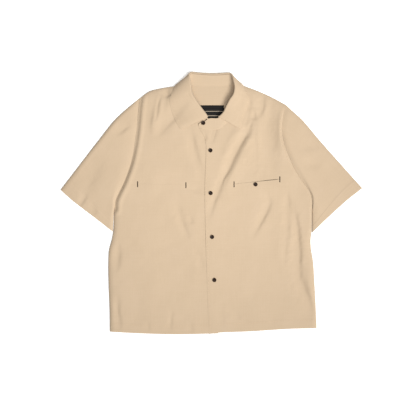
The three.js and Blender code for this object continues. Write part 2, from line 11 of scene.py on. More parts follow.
import bmesh
import bpy
import numpy as np
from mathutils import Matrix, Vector


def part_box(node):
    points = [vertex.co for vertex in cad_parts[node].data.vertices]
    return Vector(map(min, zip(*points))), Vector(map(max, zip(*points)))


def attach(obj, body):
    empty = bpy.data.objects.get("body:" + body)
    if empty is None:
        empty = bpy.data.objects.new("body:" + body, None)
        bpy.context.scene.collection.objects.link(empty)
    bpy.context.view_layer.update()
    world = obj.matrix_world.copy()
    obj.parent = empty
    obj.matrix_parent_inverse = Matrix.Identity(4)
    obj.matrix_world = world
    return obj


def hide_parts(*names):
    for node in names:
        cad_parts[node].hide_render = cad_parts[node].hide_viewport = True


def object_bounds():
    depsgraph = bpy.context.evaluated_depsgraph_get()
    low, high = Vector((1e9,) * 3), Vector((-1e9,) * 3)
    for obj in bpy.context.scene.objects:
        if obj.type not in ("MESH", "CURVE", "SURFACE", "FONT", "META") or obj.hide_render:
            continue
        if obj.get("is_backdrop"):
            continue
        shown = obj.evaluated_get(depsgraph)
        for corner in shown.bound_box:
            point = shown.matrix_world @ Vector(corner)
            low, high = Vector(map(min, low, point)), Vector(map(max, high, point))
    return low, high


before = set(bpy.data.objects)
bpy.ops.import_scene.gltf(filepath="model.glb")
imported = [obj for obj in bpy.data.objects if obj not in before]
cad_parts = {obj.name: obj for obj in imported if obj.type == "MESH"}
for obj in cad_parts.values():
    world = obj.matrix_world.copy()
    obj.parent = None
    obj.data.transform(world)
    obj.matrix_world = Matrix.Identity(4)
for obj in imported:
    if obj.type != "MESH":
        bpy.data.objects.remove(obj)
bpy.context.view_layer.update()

# %% [markdown]
# ## Where the shirt lies and how it is seen
#
# All the tables below are in millimetres, measured from the middle of the shirt, and MM turns them into
# metres. The frame is centred a hair away from that point, so one shift, read from the frame, lines the two
# up. The camera looks straight down through a long lens, as a catalogue picture of laid-out clothes is
# taken, which keeps the left and right sleeves alike. A wide lens from close by would stretch the edges.

# %% Frame shift and camera
MM = 0.001
BAG_CORNER = np.array([-216.8, -81.0])  # where the right pocket bag's lowest corner is in the tables
SHIFT = np.array([*(np.array(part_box("pocket_bag_right")[0][:2]) / MM - BAG_CORNER), 0.0])

PICTURE_PIXELS = 420
MM_PER_PIXEL = 2.85
PICTURE_CENTRE = (-4.0, -22.1)
LENS_HEIGHT = 3.2
camera = bpy.data.objects.new("camera", bpy.data.cameras.new("camera"))
bpy.context.scene.collection.objects.link(camera)
camera.location = ((PICTURE_CENTRE[0] + SHIFT[0]) * MM, (PICTURE_CENTRE[1] + SHIFT[1]) * MM, LENS_HEIGHT)
camera.data.sensor_width = 36.0
camera.data.lens = camera.data.sensor_width * LENS_HEIGHT / (PICTURE_PIXELS * MM_PER_PIXEL * MM)
bpy.context.scene.camera = camera
print("shift", SHIFT.round(2), "mm, lens", round(camera.data.lens, 1), "mm")

# %% [markdown]
# ## Light and floor
#
# The studio's main light stands far off to the right and beyond the hem, so the placket, the collar and
# each fold drop a soft shade to their upper left. It is a sun lamp as wide as a large softbox. A lamp close
# by would light one sleeve more than the other. A second softbox hangs over the chest, so the light falls
# off softly towards the hem, cuffs and collar.

# %% Lamps, world and floor
KEY_SIDE = np.array([0.79, -0.61])  # the way to the key lamp, seen from above
KEY_HEIGHT = 1.2  # how far up it is for one step to the side
KEY_WIDTH = 26  # degrees that the lamp fills, as seen from the shirt


def area_lamp(name, place, target, size, power):
    lamp = bpy.data.objects.new(name, bpy.data.lights.new(name, "AREA"))
    lamp.data.shape = "SQUARE"
    lamp.data.size = size
    lamp.data.energy = power
    lamp.location = place
    look = Vector(target) - Vector(place)
    lamp.rotation_euler = look.to_track_quat("-Z", "Y").to_euler()
    lamp.visible_camera = False
    bpy.context.scene.collection.objects.link(lamp)


key = bpy.data.objects.new("key_lamp", bpy.data.lights.new("key_lamp", "SUN"))
key.data.angle = math.radians(KEY_WIDTH)
key.data.energy = 3.2
key.rotation_euler = Vector((*-KEY_SIDE, -KEY_HEIGHT)).to_track_quat("-Z", "Y").to_euler()
bpy.context.scene.collection.objects.link(key)
area_lamp("chest_lamp", (0.06, 0.07, 0.8), (0.06, 0.07, 0), 0.6, 4.0)

world = bpy.data.worlds.new("studio")
world.use_nodes = True
world.node_tree.nodes["Background"].inputs["Color"].default_value = (1, 1, 1, 1)
world.node_tree.nodes["Background"].inputs["Strength"].default_value = 0.2
bpy.context.scene.world = world
bpy.context.scene.view_settings.view_transform = "Standard"

FLOOR_HALF, FLOOR_DROP = 3.0, 0.0005
floor_mesh = bpy.data.meshes.new("floor")
corners = [(-FLOOR_HALF, -FLOOR_HALF, 0), (FLOOR_HALF, -FLOOR_HALF, 0), (FLOOR_HALF, FLOOR_HALF, 0),
           (-FLOOR_HALF, FLOOR_HALF, 0)]
floor_mesh.from_pydata(corners, [], [(0, 1, 2, 3)])
floor = bpy.data.objects.new("floor", floor_mesh)
floor.location.z = -FLOOR_DROP
bpy.context.scene.collection.objects.link(floor)
floor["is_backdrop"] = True

# %% [markdown]
# ## The outline of the shirt
#
# These are the cut edges of the panels as they lie, the same as in the frame: sides, armholes, shoulders,
# hems, fronts and neck, each from one corner to the next. Right and left are the wearer's.
# Every panel is then filled in between its four edges, so no panel can drift away from the outline.

# %% Outline tables
SIDE = {
    "right": [(-288.7, -368.4), (-289.6, -307), (-292.4, -236), (-293.3, -170), (-291.3, -136),
              (-284, -108), (-279.3, -82), (-276.5, -18)],
    "left": [(299.5, -358), (297.5, -307), (293.8, -236), (289.6, -170), (283.5, -130), (282.4, -108),
             (285, -85), (286.4, -20)],
}
ARMHOLE = {
    "right": [(-276.5, -18), (-274, 6), (-267.4, 22), (-249, 61), (-229, 118), (-215, 192), (-209, 249),
              (-204.5, 296)],
    "left": [(286.4, -20), (285.4, 8), (280, 28), (267, 48), (241, 86), (220, 132), (205.5, 172),
             (201, 206), (205, 249), (212, 277)],
}
SHOULDER = {
    "right": [(-204.5, 296), (-176.4, 315.6), (-146.5, 323.3), (-108, 329.5), (-90, 331.4)],
    "left": [(212, 277), (183, 293), (167, 301), (133, 316), (93, 331)],
}
HEM = {
    "right": [(19, -373), (-104.6, -375.4), (-203.5, -372.6), (-288.7, -368.4)],
    "left": [(-7.4, -374.5), (24, -370.5), (110, -367), (224, -360), (299.5, -358)],
    "back": [(-288.7, -368.4), (-203.5, -372.6), (-104.6, -374.4), (24, -369.5), (110, -367), (224, -360),
             (299.5, -358)],
}
FRONT_EDGE = {
    "right": [(19, -373), (18, -235), (17, -93), (17, 35), (17, 202)],
    "left": [(-7.4, -374.5), (-12.5, -236), (-16.8, -93), (-19, 35), (-16.2, 172), (-21, 186),
             (-34.5, 210.5)],
}
NECK = {
    "right": [(17, 202), (-12, 206), (-31, 216), (-43, 228), (-57, 244), (-73, 268), (-84, 299),
              (-88, 318), (-90, 331.4)],
    "left": [(-34.5, 210.5), (-17, 205.5), (0, 203.5), (22, 206.5), (44, 224), (66, 250), (83, 278),
             (90, 303), (92, 320), (93, 331)],
    "back": [(-90, 331.4), (-57, 330.6), (0, 329.4), (52, 330.4), (93, 331)],
}
SLEEVE_TOP = {
    "right": [(-204.5, 296), (-243, 264), (-274.7, 234.4), (-320.3, 177.4), (-429.5, 35.5)],
    "left": [(212, 277), (226.9, 262.9), (258.2, 234.4), (306.7, 177.4), (429.3, 40)],
}
SLEEVE_HEM = {
    "right": [(-429.5, 35.5), (-397.3, 6.4), (-324, -50), (-281.4, -83.2)],
    "left": [(429.3, 40), (386.5, 6.4), (323.8, -50.6), (287, -86.5)],
}
UNDERARM_FOLD = {"right": [(-276.5, -18), (-281.4, -83.2)], "left": [(286.4, -20), (287, -86.5)]}

# %% [markdown]
# ## Lines and patches
#
# A tailor's curve through a few points is a Catmull-Rom spline: it passes through each point, so the tables
# above stay readable. A patch between four such lines is a Coons patch. Both are a few lines of numpy.
# Blender's own curves could do it too, but a height that depends on the place is easier to add to plain
# arrays.

# %% Helpers for lines and patches
def spline_at(points, places):
    """Points of a smooth line through the given ones, at fractional places in their list."""
    p = np.array(points, float)
    p = np.vstack([2 * p[0] - p[1], p, 2 * p[-1] - p[-2]])
    k = np.clip(np.floor(places).astype(int), 0, len(p) - 4)
    t = (places - k)[:, None]
    a, b, c, d = p[k], p[k + 1], p[k + 2], p[k + 3]
    t0, t1, t2 = (np.maximum(np.linalg.norm(e, axis=1, keepdims=True) ** 0.5, 1e-6)
                  for e in (b - a, c - b, d - c))
    start = ((b - a) / t0 - (c - a) / (t0 + t1) + (c - b) / t1) * t1
    end = ((c - b) / t1 - (d - b) / (t1 + t2) + (d - c) / t2) * t1
    leaving = b * (2 * t**3 - 3 * t**2 + 1) + start * (t**3 - 2 * t**2 + t)
    return leaving + c * (3 * t**2 - 2 * t**3) + end * (t**3 - t**2)


def walked_along(line):
    return np.concatenate([[0], np.cumsum(np.linalg.norm(np.diff(line, axis=0), axis=1))])


def line_length(line):
    return walked_along(line)[-1]


def at_shares(line, where):
    """The points of a line at shares of its length, from 0 to 1."""
    walked = walked_along(line)
    return np.stack([np.interp(where * walked[-1], walked, column) for column in line.T], axis=1)


def smooth_line(points, spacing=2.0):
    """A smooth line through the points, as points about spacing apart."""
    line = spline_at(points, np.linspace(0, len(points) - 1, 24 * (len(points) - 1) + 1))
    return at_shares(line, np.linspace(0, 1, max(2, int(line_length(line) / spacing) + 1)))


def joined(*lines):
    return np.vstack([lines[0]] + [line[1:] for line in lines[1:]])


def patch(bottom, top, left, right, across, along, reach=1.0):
    """A grid of places between four edges, at shares across and along it.

    A high reach keeps the shape of the top edge close to it.
    """
    low, high = at_shares(bottom, across), at_shares(top, across)
    start, end = at_shares(left, along), at_shares(right, along)
    u, v = across[None, :, None], along[:, None, None]
    low_bow = low[None] - (low[0] * (1 - u) + low[-1] * u)
    high_bow = high[None] - (high[0] * (1 - u) + high[-1] * u)
    return start[:, None] * (1 - u) + end[:, None] * u + low_bow * (1 - v) + high_bow * v**reach


RIM_STEPS = np.array([0.0, 0.25, 0.7, 1.5])  # mm from a cloth's edge, where its rim is rounded
RIM_FULLNESS = np.array([0.3, 0.75, 0.96, 1.0])  # share of the full thickness there


def shares(length, spacing, marks=()):
    """Shares of a length in mm about spacing apart, with close steps at both ends and at each mark."""
    steps = np.linspace(RIM_STEPS[-1], length - RIM_STEPS[-1], int(length / spacing) + 1)
    for mark in marks:
        steps = np.sort(np.append(steps[np.abs(steps - mark) > 0.8], [mark - 0.3, mark + 0.3]))
    return np.concatenate([RIM_STEPS[:-1], steps, length - RIM_STEPS[:-1][::-1]]) / length


def distance_to(x, y, line):
    """Distance in mm from places to a line."""
    nearest = np.full(x.shape, 1e9)
    for a, b in zip(line[:-1, :2], line[1:, :2]):
        step = b - a
        length = max(np.linalg.norm(step), 1e-9)
        t = np.clip(((x - a[0]) * step[0] + (y - a[1]) * step[1]) / length**2, 0, 1)
        nearest = np.minimum(nearest, np.hypot(x - a[0] - t * step[0], y - a[1] - t * step[1]))
    return nearest


def ease(t):
    t = np.clip(t, 0, 1)
    return t * t * (3 - 2 * t)


def quarter_round(t):
    """From 0 to 1 as the side of a rounded edge rises: steep first, then level."""
    return np.sqrt(1 - (1 - np.clip(t, 0, 1)) ** 2)


def soft_noise(x, y, size, seed):
    """Smooth hills and hollows about size mm across, from -1 to 1, the same on each run."""
    heights = np.random.default_rng(seed).uniform(-1, 1, (64, 64))
    gx, gy = x / size + 32, y / size + 32
    i, j = np.floor(gx).astype(int), np.floor(gy).astype(int)
    fx, fy = ease(gx - i), ease(gy - j)
    i, j, i1, j1 = i % 64, j % 64, (i + 1) % 64, (j + 1) % 64
    low = heights[i, j] * (1 - fx) + heights[i1, j] * fx
    high = heights[i, j1] * (1 - fx) + heights[i1, j1] * fx
    return low * (1 - fy) + high * fy


print("front side seam", round(line_length(smooth_line(SIDE["right"]))), "mm, armhole",
      round(line_length(smooth_line(ARMHOLE["right"]))), "mm")

# %% [markdown]
# ## Finishes
#
# The shirting is a plain-woven cotton with a little linen in it, dyed sandy beige and washed: matt, with a
# soft nap that catches grazing light, which is what sheen gives. Its threads are finer than the picture
# shows, so the weave is only bump, and what the eye sees is the faint streaks of thicker threads along and
# across the grain. The buttons are polished horn, the tacks are wound brown thread and the label is a black
# satin weave. All colours are sRGB hex values, turned to linear light by one function.

# %% Material helpers
def linear(hex_colour):
    channels = [int(hex_colour[k:k + 2], 16) / 255 for k in (1, 3, 5)]
    return tuple(c / 12.92 if c <= 0.04045 else ((c + 0.055) / 1.055) ** 2.4 for c in channels) + (1.0,)


def add(tree, kind, links=None, values=None, **settings):
    """Adds a node with its settings, its values by input name, and links from other nodes' outputs."""
    node = tree.nodes.new(kind)
    for name, value in settings.items():
        setattr(node, name, value)
    for name, value in (values or {}).items():
        node.inputs[name].default_value = value
    for name, source in (links or {}).items():
        tree.links.new(source, node.inputs[name])
    return node


def new_material(name):
    material = bpy.data.materials.new(name)
    material.use_nodes = True
    tree = material.node_tree
    return material, tree, tree.nodes["Principled BSDF"]


def ramp(node, *stops):
    """Sets a colour ramp's stops, each a place and a hex colour."""
    elements = node.color_ramp.elements
    while len(elements) < len(stops):
        elements.new(0.5)
    for element, (place, colour) in zip(elements, stops):
        element.position = place
        element.color = linear(colour)


# %% Plain-woven shirting
# The real threads, 0.4 mm apart, would only shimmer, so the weave is drawn about twice as coarse.
THREAD_PITCH = 0.9
SLUB_LENGTH, SLUB_WIDTH = 60.0, 3.0  # mm, a thicker stretch of thread
WAVES_A_UNIT = 20  # a wave texture of scale 1 has about this many bands in a unit


def shirting_material(name, light, middle, dark):
    """Washed cotton and linen shirting, mapped in metres along the cloth, so its grain follows each piece."""
    material, tree, surface = new_material(name)
    grain = add(tree, "ShaderNodeUVMap", uv_map="cloth").outputs["UV"]
    slubs = []
    for width, length in ((SLUB_WIDTH, SLUB_LENGTH), (SLUB_LENGTH, SLUB_WIDTH)):
        stretched = add(tree, "ShaderNodeMapping", {"Vector": grain},
                        {"Scale": (1 / (width * MM), 1 / (length * MM), 1)})
        slubs.append(add(tree, "ShaderNodeTexNoise", {"Vector": stretched.outputs["Vector"]},
                         {"Scale": 1.0, "Detail": 3.0, "Roughness": 0.6}))
    both = add(tree, "ShaderNodeMath", {0: slubs[0].outputs["Fac"], 1: slubs[1].outputs["Fac"]},
               operation="ADD")
    wash = add(tree, "ShaderNodeTexNoise", {"Vector": grain},
               {"Scale": 1 / (90 * MM), "Detail": 2.0})
    uneven = add(tree, "ShaderNodeMath", {0: both.outputs[0], 1: wash.outputs["Fac"]}, operation="ADD")
    spread = add(tree, "ShaderNodeMapRange", {"Value": uneven.outputs[0]},
                 {"From Min": 1.0, "From Max": 2.0})
    colour = add(tree, "ShaderNodeValToRGB", {"Fac": spread.outputs["Result"]})
    ramp(colour, (0.0, dark), (0.5, middle), (1.0, light))
    tree.links.new(colour.outputs["Color"], surface.inputs["Base Color"])
    threads = []
    for direction in ("X", "Y"):
        threads.append(add(tree, "ShaderNodeTexWave", {"Vector": grain},
                           {"Scale": 1 / (THREAD_PITCH * MM) / WAVES_A_UNIT, "Distortion": 0.6,
                            "Detail": 1.0, "Detail Scale": 2.0}, bands_direction=direction))
    weave = add(tree, "ShaderNodeMath", {0: threads[0].outputs["Fac"], 1: threads[1].outputs["Fac"]},
                operation="ADD")
    weave_bump = add(tree, "ShaderNodeBump", {"Height": weave.outputs[0]},
                     {"Strength": 0.5, "Distance": 0.08 * MM})
    slub_bump = add(tree, "ShaderNodeBump",
                    {"Height": both.outputs[0], "Normal": weave_bump.outputs["Normal"]},
                    {"Strength": 0.16, "Distance": 0.08 * MM})
    crumple = add(tree, "ShaderNodeTexNoise", {"Vector": grain},
                  {"Scale": 1 / (16 * MM), "Detail": 3.0, "Roughness": 0.55})
    crumple_bump = add(tree, "ShaderNodeBump",
                       {"Height": crumple.outputs["Fac"], "Normal": slub_bump.outputs["Normal"]},
                       {"Strength": 0.4, "Distance": 0.5 * MM})
    tree.links.new(crumple_bump.outputs["Normal"], surface.inputs["Normal"])
    surface.inputs["Roughness"].default_value = 0.88
    surface.inputs["Specular IOR Level"].default_value = 0.25
    surface.inputs["Sheen Weight"].default_value = 0.18
    surface.inputs["Sheen Roughness"].default_value = 0.5
    return material


shirting = shirting_material("washed_shirting", "#bfa98f", "#bda78c", "#baa489")

# %% Polished horn, brown tack thread, beige thread, black label satin, floor
horn, tree, surface = new_material("polished_horn")
place = add(tree, "ShaderNodeTexCoord")
streaks = add(tree, "ShaderNodeTexNoise", {"Vector": place.outputs["Object"]},
              {"Scale": 260.0, "Detail": 4.0, "Distortion": 1.2})
horn_colour = add(tree, "ShaderNodeValToRGB", {"Fac": streaks.outputs["Fac"]})
ramp(horn_colour, (0.3, "#160b06"), (0.55, "#26150b"), (0.75, "#432a18"))
tree.links.new(horn_colour.outputs["Color"], surface.inputs["Base Color"])
surface.inputs["Roughness"].default_value = 0.34
surface.inputs["Specular IOR Level"].default_value = 0.16


def thread_material(name, light, dark, twist_mm):
    """Spun thread: two plies twisted round each other give fine slanting stripes and a slight gloss."""
    material, tree, surface = new_material(name)
    place = add(tree, "ShaderNodeTexCoord")
    twist = add(tree, "ShaderNodeTexWave", {"Vector": place.outputs["Object"]},
                {"Scale": 1 / (twist_mm * MM) / WAVES_A_UNIT, "Distortion": 1.0}, bands_direction="DIAGONAL")
    colour = add(tree, "ShaderNodeValToRGB", {"Fac": twist.outputs["Fac"]})
    ramp(colour, (0.2, dark), (0.8, light))
    tree.links.new(colour.outputs["Color"], surface.inputs["Base Color"])
    bump = add(tree, "ShaderNodeBump", {"Height": twist.outputs["Fac"]},
               {"Strength": 0.4, "Distance": 0.05 * MM})
    tree.links.new(bump.outputs["Normal"], surface.inputs["Normal"])
    surface.inputs["Roughness"].default_value = 0.6
    surface.inputs["Specular IOR Level"].default_value = 0.2
    surface.inputs["Sheen Weight"].default_value = 0.1
    return material


seam_thread = thread_material("beige_seam_thread", "#dcc2a1", "#c9ac88", 0.7)
tack_thread = thread_material("brown_tack_thread", "#33210f", "#1e120a", 0.6)

LABEL_LINES = [(258.9, 0.7), (246.4, 0.8)]  # height up the shirt and half width of two pale woven lines
LABEL_RIB = 0.8
label_satin, tree, surface = new_material("black_label_satin")
cloth = add(tree, "ShaderNodeUVMap", uv_map="cloth")
ribs = add(tree, "ShaderNodeTexWave", {"Vector": cloth.outputs["UV"]},
           {"Scale": 1 / (LABEL_RIB * MM) / WAVES_A_UNIT, "Distortion": 0.3}, bands_direction="Y")
label_colour = add(tree, "ShaderNodeValToRGB", {"Fac": ribs.outputs["Fac"]})
ramp(label_colour, (0.2, "#0d0c0b"), (0.8, "#1d1a18"))
along_label = add(tree, "ShaderNodeSeparateXYZ", {"Vector": cloth.outputs["UV"]})
woven = label_colour.outputs["Color"]
for height, half in LABEL_LINES:
    line = add(tree, "ShaderNodeMath", {0: along_label.outputs["Y"]}, {1: height * MM, 2: half * MM},
               operation="COMPARE")
    mixed = add(tree, "ShaderNodeMix", {0: line.outputs[0], 6: woven}, {7: linear("#a89a86")},
                data_type="RGBA")
    woven = mixed.outputs[2]
tree.links.new(woven, surface.inputs["Base Color"])
rib_bump = add(tree, "ShaderNodeBump", {"Height": ribs.outputs["Fac"]},
               {"Strength": 0.3, "Distance": 0.08 * MM})
tree.links.new(rib_bump.outputs["Normal"], surface.inputs["Normal"])
surface.inputs["Roughness"].default_value = 0.6
surface.inputs["Specular IOR Level"].default_value = 0.12

floor_paper, tree, surface = new_material("white_paper_floor")
surface.inputs["Base Color"].default_value = linear("#fbfbfa")
# The paper lies on a light table, which lifts the shadows on it.
surface.inputs["Emission Color"].default_value = (1, 1, 1, 1)
surface.inputs["Emission Strength"].default_value = 0.3
surface.inputs["Roughness"].default_value = 0.9
floor_mesh.materials.append(floor_paper)
print("materials:", [m.name for m in (shirting, horn, seam_thread, tack_thread, label_satin, floor_paper)])

# %% [markdown]
# ## How the cloth lies
#
# The back rests on the table. The fronts ride a few millimetres above it on trapped air, the pocket bags
# and the collar, and roll down to the side and shoulder seams. Each fold of the real shirt is a line with a
# depth and a half width, read from where its shade falls: negative depths are troughs. A cloth simulation
# would find folds of its own, in other places, so they are drawn, and soft noise adds the small unevenness
# between them.

# %% Levels and folds
CLOTH = 0.8  # mm, one layer of shirting
COLLAR_WALL = 1.4  # two layers with interlining between
BACK_LEVEL = CLOTH / 2
FRONT_LEVEL = 8.0
SEWN_LEVEL = 1.5  # a front where it is sewn to the back
SIDE_ROLL, SHOULDER_ROLL = 17.0, 22.0
FLATTER_LAP = 0.45  # how much shallower folds are on the lap, where the cloth is double and stiffer
DEEPEST = 5.0  # no trough sinks further, so it stays over the pocket bags
BACK_OVER_LEAF = 1.8
NECK_RISE = {"start": 205, "length": 110, "middle": -6, "half": 112, "ease": 95}
LAP = {"middle": 0.0, "half": 24.0, "ease": 26.0, "right": -0.5, "left": 0.5, "low": 0.64, "low_to": -260,
       "low_ease": 200}
LAP_EDGE_WALL = 0.45  # of the upper front's edge, near the hem, where it lies closest
ARMHOLE_DIP = {"right": (5.4, 12.0), "left": (0.3, 4.0)}  # how far a front dips there, over what width
ARMHOLE_RIDGE = {"right": (1.5, 15.0), "left": (0.1, 10.0)}  # height and place of the rise inside it
SLEEVE_SIDE_ROLL = 9.0  # how far a front's side rolls down where the sleeve lies against it
FOLD_DAMPING = 8.0  # mm from an armhole within which folds die out
HEM_DEPTH = 25.0
HEM_WALL = 0.5  # what a turned hem adds to the wall

FRONT_FOLDS = [  # name, depth, half width, path
    ("long trough from the shoulder to the placket", -4.6, 13,
     [(124, 275), (119, 246), (108, 217), (93, 185), (69, 143), (50, 101), (27, 58), (13, 15), (-1, -22),
      (-8, -53)]),
    ("its lower end, by the placket", -2.8, 9, [(44, 88), (27, 52), (12, 16), (2, -14), (-3, -36)]),
    ("hollow along the left leaf", -2.6, 11, [(111, 288), (106, 263), (100, 234), (95, 205)]),
    ("dimple beside the left leaf", -3.6, 8, [(119, 254), (123, 245), (123, 234)]),
    ("rise right of it", 2.8, 16,
     [(142, 262), (136, 235), (117, 193), (94, 150), (73, 104), (50, 58), (33, 14)]),
    ("rise left of it", 1.4, 16, [(90, 229), (59, 183), (36, 132), (16, 86)]),
    ("shoulder patch", -3.0, 10, [(144, 300), (147, 271), (139, 246)]),
    ("ridge at the left shoulder", 2.4, 11, [(158, 303), (153, 274), (147, 240)]),
    ("hollow before the left armhole", -5.6, 30,
     [(160, 300), (156, 234), (156, 172), (168, 115), (186, 69)]),
    ("edge of that hollow", 3.4, 14, [(200, 262), (197, 229), (197, 183), (205, 130)]),
    ("ridge beside that hollow", 1.8, 10, [(137, 240), (133, 183), (141, 126)]),
    ("curve below the left pocket", -3.2, 11, [(156, 24), (164, -2), (153, -33), (136, -65), (119, -96)]),
    ("left side, first", -3.0, 9, [(215, 26), (217, -16), (215, -79)]),
    ("left side, below the first", -1.6, 9, [(210, -90), (210, -125), (210, -170)]),
    ("left side, deepest", -5.8, 11,
     [(227, -16), (238, -45), (244, -85), (247, -136), (247, -187), (250, -227)]),
    ("left side, broad hollow", -2.8, 20, [(220, 10), (228, -60), (240, -150), (256, -250), (276, -340)]),
    ("left side, low", -4.6, 12, [(248, -215), (262, -250), (278, -287), (288, -330)]),
    ("left side, ridge beside the low one", 2.2, 12, [(268, -205), (281, -240), (292, -280)]),
    ("left side, ridge", 2.4, 11, [(231, -51), (229, -79), (228, -119)]),
    ("small one at the left hem", -1.4, 8, [(50, -310), (64, -317), (84, -330)]),
    ("low one by the placket", -1.1, 11, [(30, -279), (28, -313), (32, -358)]),
    ("ridge at the right shoulder", 3.2, 11, [(-152, 303), (-158, 269), (-164, 229), (-166, 195)]),
    ("crease at the right shoulder", -3.2, 8, [(-145, 300), (-152, 280), (-156, 249), (-158, 232)]),
    ("hollow across the right collar point", -2.4, 18,
     [(-152, 190), (-138, 206), (-118, 229), (-101, 249), (-84, 269)]),
    ("rise under the right leaf", 2.6, 14, [(-104, 332), (-111, 316), (-118, 290), (-121, 270)]),
    ("dimple beside the right leaf", -4.2, 9, [(-134, 314), (-126, 309), (-121, 298)]),
    ("nick at the top of the lap", -3.0, 6, [(-21, 193), (-18, 184), (-16, 174)]),
    ("fan trough", -2.4, 12, [(-64, 212), (-55, 177), (-44, 138), (-31, 98), (-24, 69)]),
    ("fan ridge", 1.6, 11, [(-44, 189), (-35, 149), (-26, 103)]),
    ("crease from the right pocket's end", -1.6, 8, [(-78, 42), (-61, 38), (-38, 32), (-18, 26)]),
    ("waist crease", -2.4, 11, [(-97, -14), (-89, -42), (-78, -73), (-64, -102)]),
    ("small one at the waist", -1.2, 8, [(-61, -42), (-55, -62)]),
    ("low one left of the placket", -1.5, 11, [(-47, -133), (-34, -153), (-28, -173), (-26, -199)]),
    ("right side, upper", -2.2, 11, [(-266, -119), (-266, -153), (-269, -193)]),
    ("right side, lower", -2.2, 11, [(-269, -267), (-266, -313), (-260, -361)]),
    ("hem pucker, first", -1.1, 8, [(-112, -307), (-115, -336), (-118, -367)]),
    ("hem pucker, second", -0.9, 8, [(-181, -341), (-178, -367)]),
    ("hem pucker, third", -0.9, 8, [(-61, -341), (-55, -370)]),
]
TAB_FOLDS = [  # on the lap itself
    ("crease below the stand", -1.7, 8, [(17, 218), (11, 203), (6, 190), (3, 168)]),
]
LEAF_FOLDS = [
    ("hollow across the right leaf", -1.7, 18,
     [(-132, 212), (-118, 229), (-101, 249), (-84, 269), (-68, 290)]),
    ("crease at the right fold line", -1.8, 6, [(-68, 309), (-60, 301), (-46, 293)]),
    ("hollow down the left leaf", -1.4, 10, [(84, 318), (86, 290), (74, 262)]),
]
SLEEVE_FOLDS = [
    ("crease on the right sleeve", -2.4, 11, [(-269, 197), (-255, 204), (-235, 219)]),
    ("broad hollow on the right sleeve", -1.8, 27, [(-317, 120), (-340, 69), (-363, 29)]),
    ("crease at the right cuff", -2.2, 9, [(-357, 18), (-366, 4), (-376, -11)]),
    ("second crease at the right cuff", -1.6, 8, [(-340, -11), (-329, -33)]),
    ("upper dimple on the left sleeve", -1.9, 12, [(267, 155), (284, 160), (304, 155)]),
    ("lower dimple on the left sleeve", -1.9, 12, [(270, 103), (287, 108), (307, 100)]),
]
UNEVENNESS = [(95.0, 1.0, 3), (42.0, 0.75, 5), (19.0, 0.2, 7)]  # size, height and seed of each noise
LEAN = 0.42  # a crease in smoothed cloth is steep on one bank and gentle on the other
RAGGED = [(24.0, 0.22, 17), (9.0, 0.13, 19)]  # size, share of a crease's width, and seed of each noise


def fold_height(x, y, folds):
    """Each fold is a channel or ridge that fades out at its ends, with one bank steeper and a ragged edge."""
    total = np.zeros(x.shape)
    ragged = 1 + sum(height * soft_noise(x, y, size, seed) for size, height, seed in RAGGED)
    for _, depth, half_width, path in folds:
        line = smooth_line(path, 6.0)
        walked = walked_along(line) / line_length(line)
        narrow, wide = np.zeros(x.shape), np.zeros(x.shape)
        for a, b, start, end in zip(line, line[1:], walked, walked[1:]):
            step = b - a
            t = np.clip(((x - a[0]) * step[0] + (y - a[1]) * step[1]) / (step @ step), 0, 1)
            off_x, off_y = x - a[0] - t * step[0], y - a[1] - t * step[1]
            away = np.hypot(off_x, off_y)
            lit_side = (off_x * KEY_SIDE[0] + off_y * KEY_SIDE[1]) / np.maximum(away, 1e-6)
            width = half_width * (1 + LEAN * np.sign(depth) * lit_side) * ragged
            fade = np.sin(np.pi * np.clip(start + (end - start) * t, 0.0, 1.0)) ** 0.7
            narrow = np.maximum(narrow, fade * np.exp(-(away / width) ** 2))
            wide = np.maximum(wide, fade * np.exp(-(away / half_width / 2.2) ** 2))
        total += depth * (1.25 * narrow - 0.25 * wide)
    return total


def unevenness(x, y):
    return sum(height * soft_noise(x, y, size, seed) for size, height, seed in UNEVENNESS)


def limited(height):
    """The same height, but a trough flattens out as it nears the deepest level."""
    return np.where(height < 0, -DEEPEST * np.tanh(-height / DEEPEST), height)


def neck_rise(x, y):
    up = ease((y - NECK_RISE["start"]) / NECK_RISE["length"])
    aside = ease((np.abs(x - NECK_RISE["middle"]) - NECK_RISE["half"]) / NECK_RISE["ease"])
    return BACK_OVER_LEAF * up * (1 - aside)


def back_level(x, y):
    return BACK_LEVEL + neck_rise(x, y)


def front_level(side, x, y):
    """The height of the middle of a front's cloth."""
    lap = 1 - ease((np.abs(x - LAP["middle"]) - LAP["half"]) / LAP["ease"])
    step = LAP[side] * lap * (LAP["low"] + (1 - LAP["low"]) * ease((y - LAP["low_to"]) / LAP["low_ease"]))
    from_armhole = distance_to(x, y, smooth_line(ARMHOLE[side], 8.0))
    folds = limited(fold_height(x, y, FRONT_FOLDS) + unevenness(x, y))
    folds = folds * (1 - FLATTER_LAP * lap) * ease(from_armhole / FOLD_DAMPING)
    if side == "left":
        folds = folds + fold_height(x, y, TAB_FOLDS)
    height, place = ARMHOLE_RIDGE[side]
    dip, width = ARMHOLE_DIP[side]
    ridge = height * np.exp(-((from_armhole - place) / 6) ** 2) - dip * (1 - ease(from_armhole / width))
    from_side = distance_to(x, y, smooth_line(SIDE[side], 8.0))
    from_shoulder = distance_to(x, y, smooth_line(SHOULDER[side], 8.0))
    beside_sleeve = ease((y - UNDERARM_FOLD[side][1][1]) / 12) if side == "left" else 0.0
    side_roll = quarter_round(from_side / (SIDE_ROLL + (SLEEVE_SIDE_ROLL - SIDE_ROLL) * beside_sleeve))
    side_roll = side_roll + (1 - side_roll) * 0.3 * beside_sleeve
    roll = side_roll * quarter_round(from_shoulder / SHOULDER_ROLL)
    return neck_rise(x, y) + SEWN_LEVEL + (FRONT_LEVEL - SEWN_LEVEL + folds + ridge) * roll + step


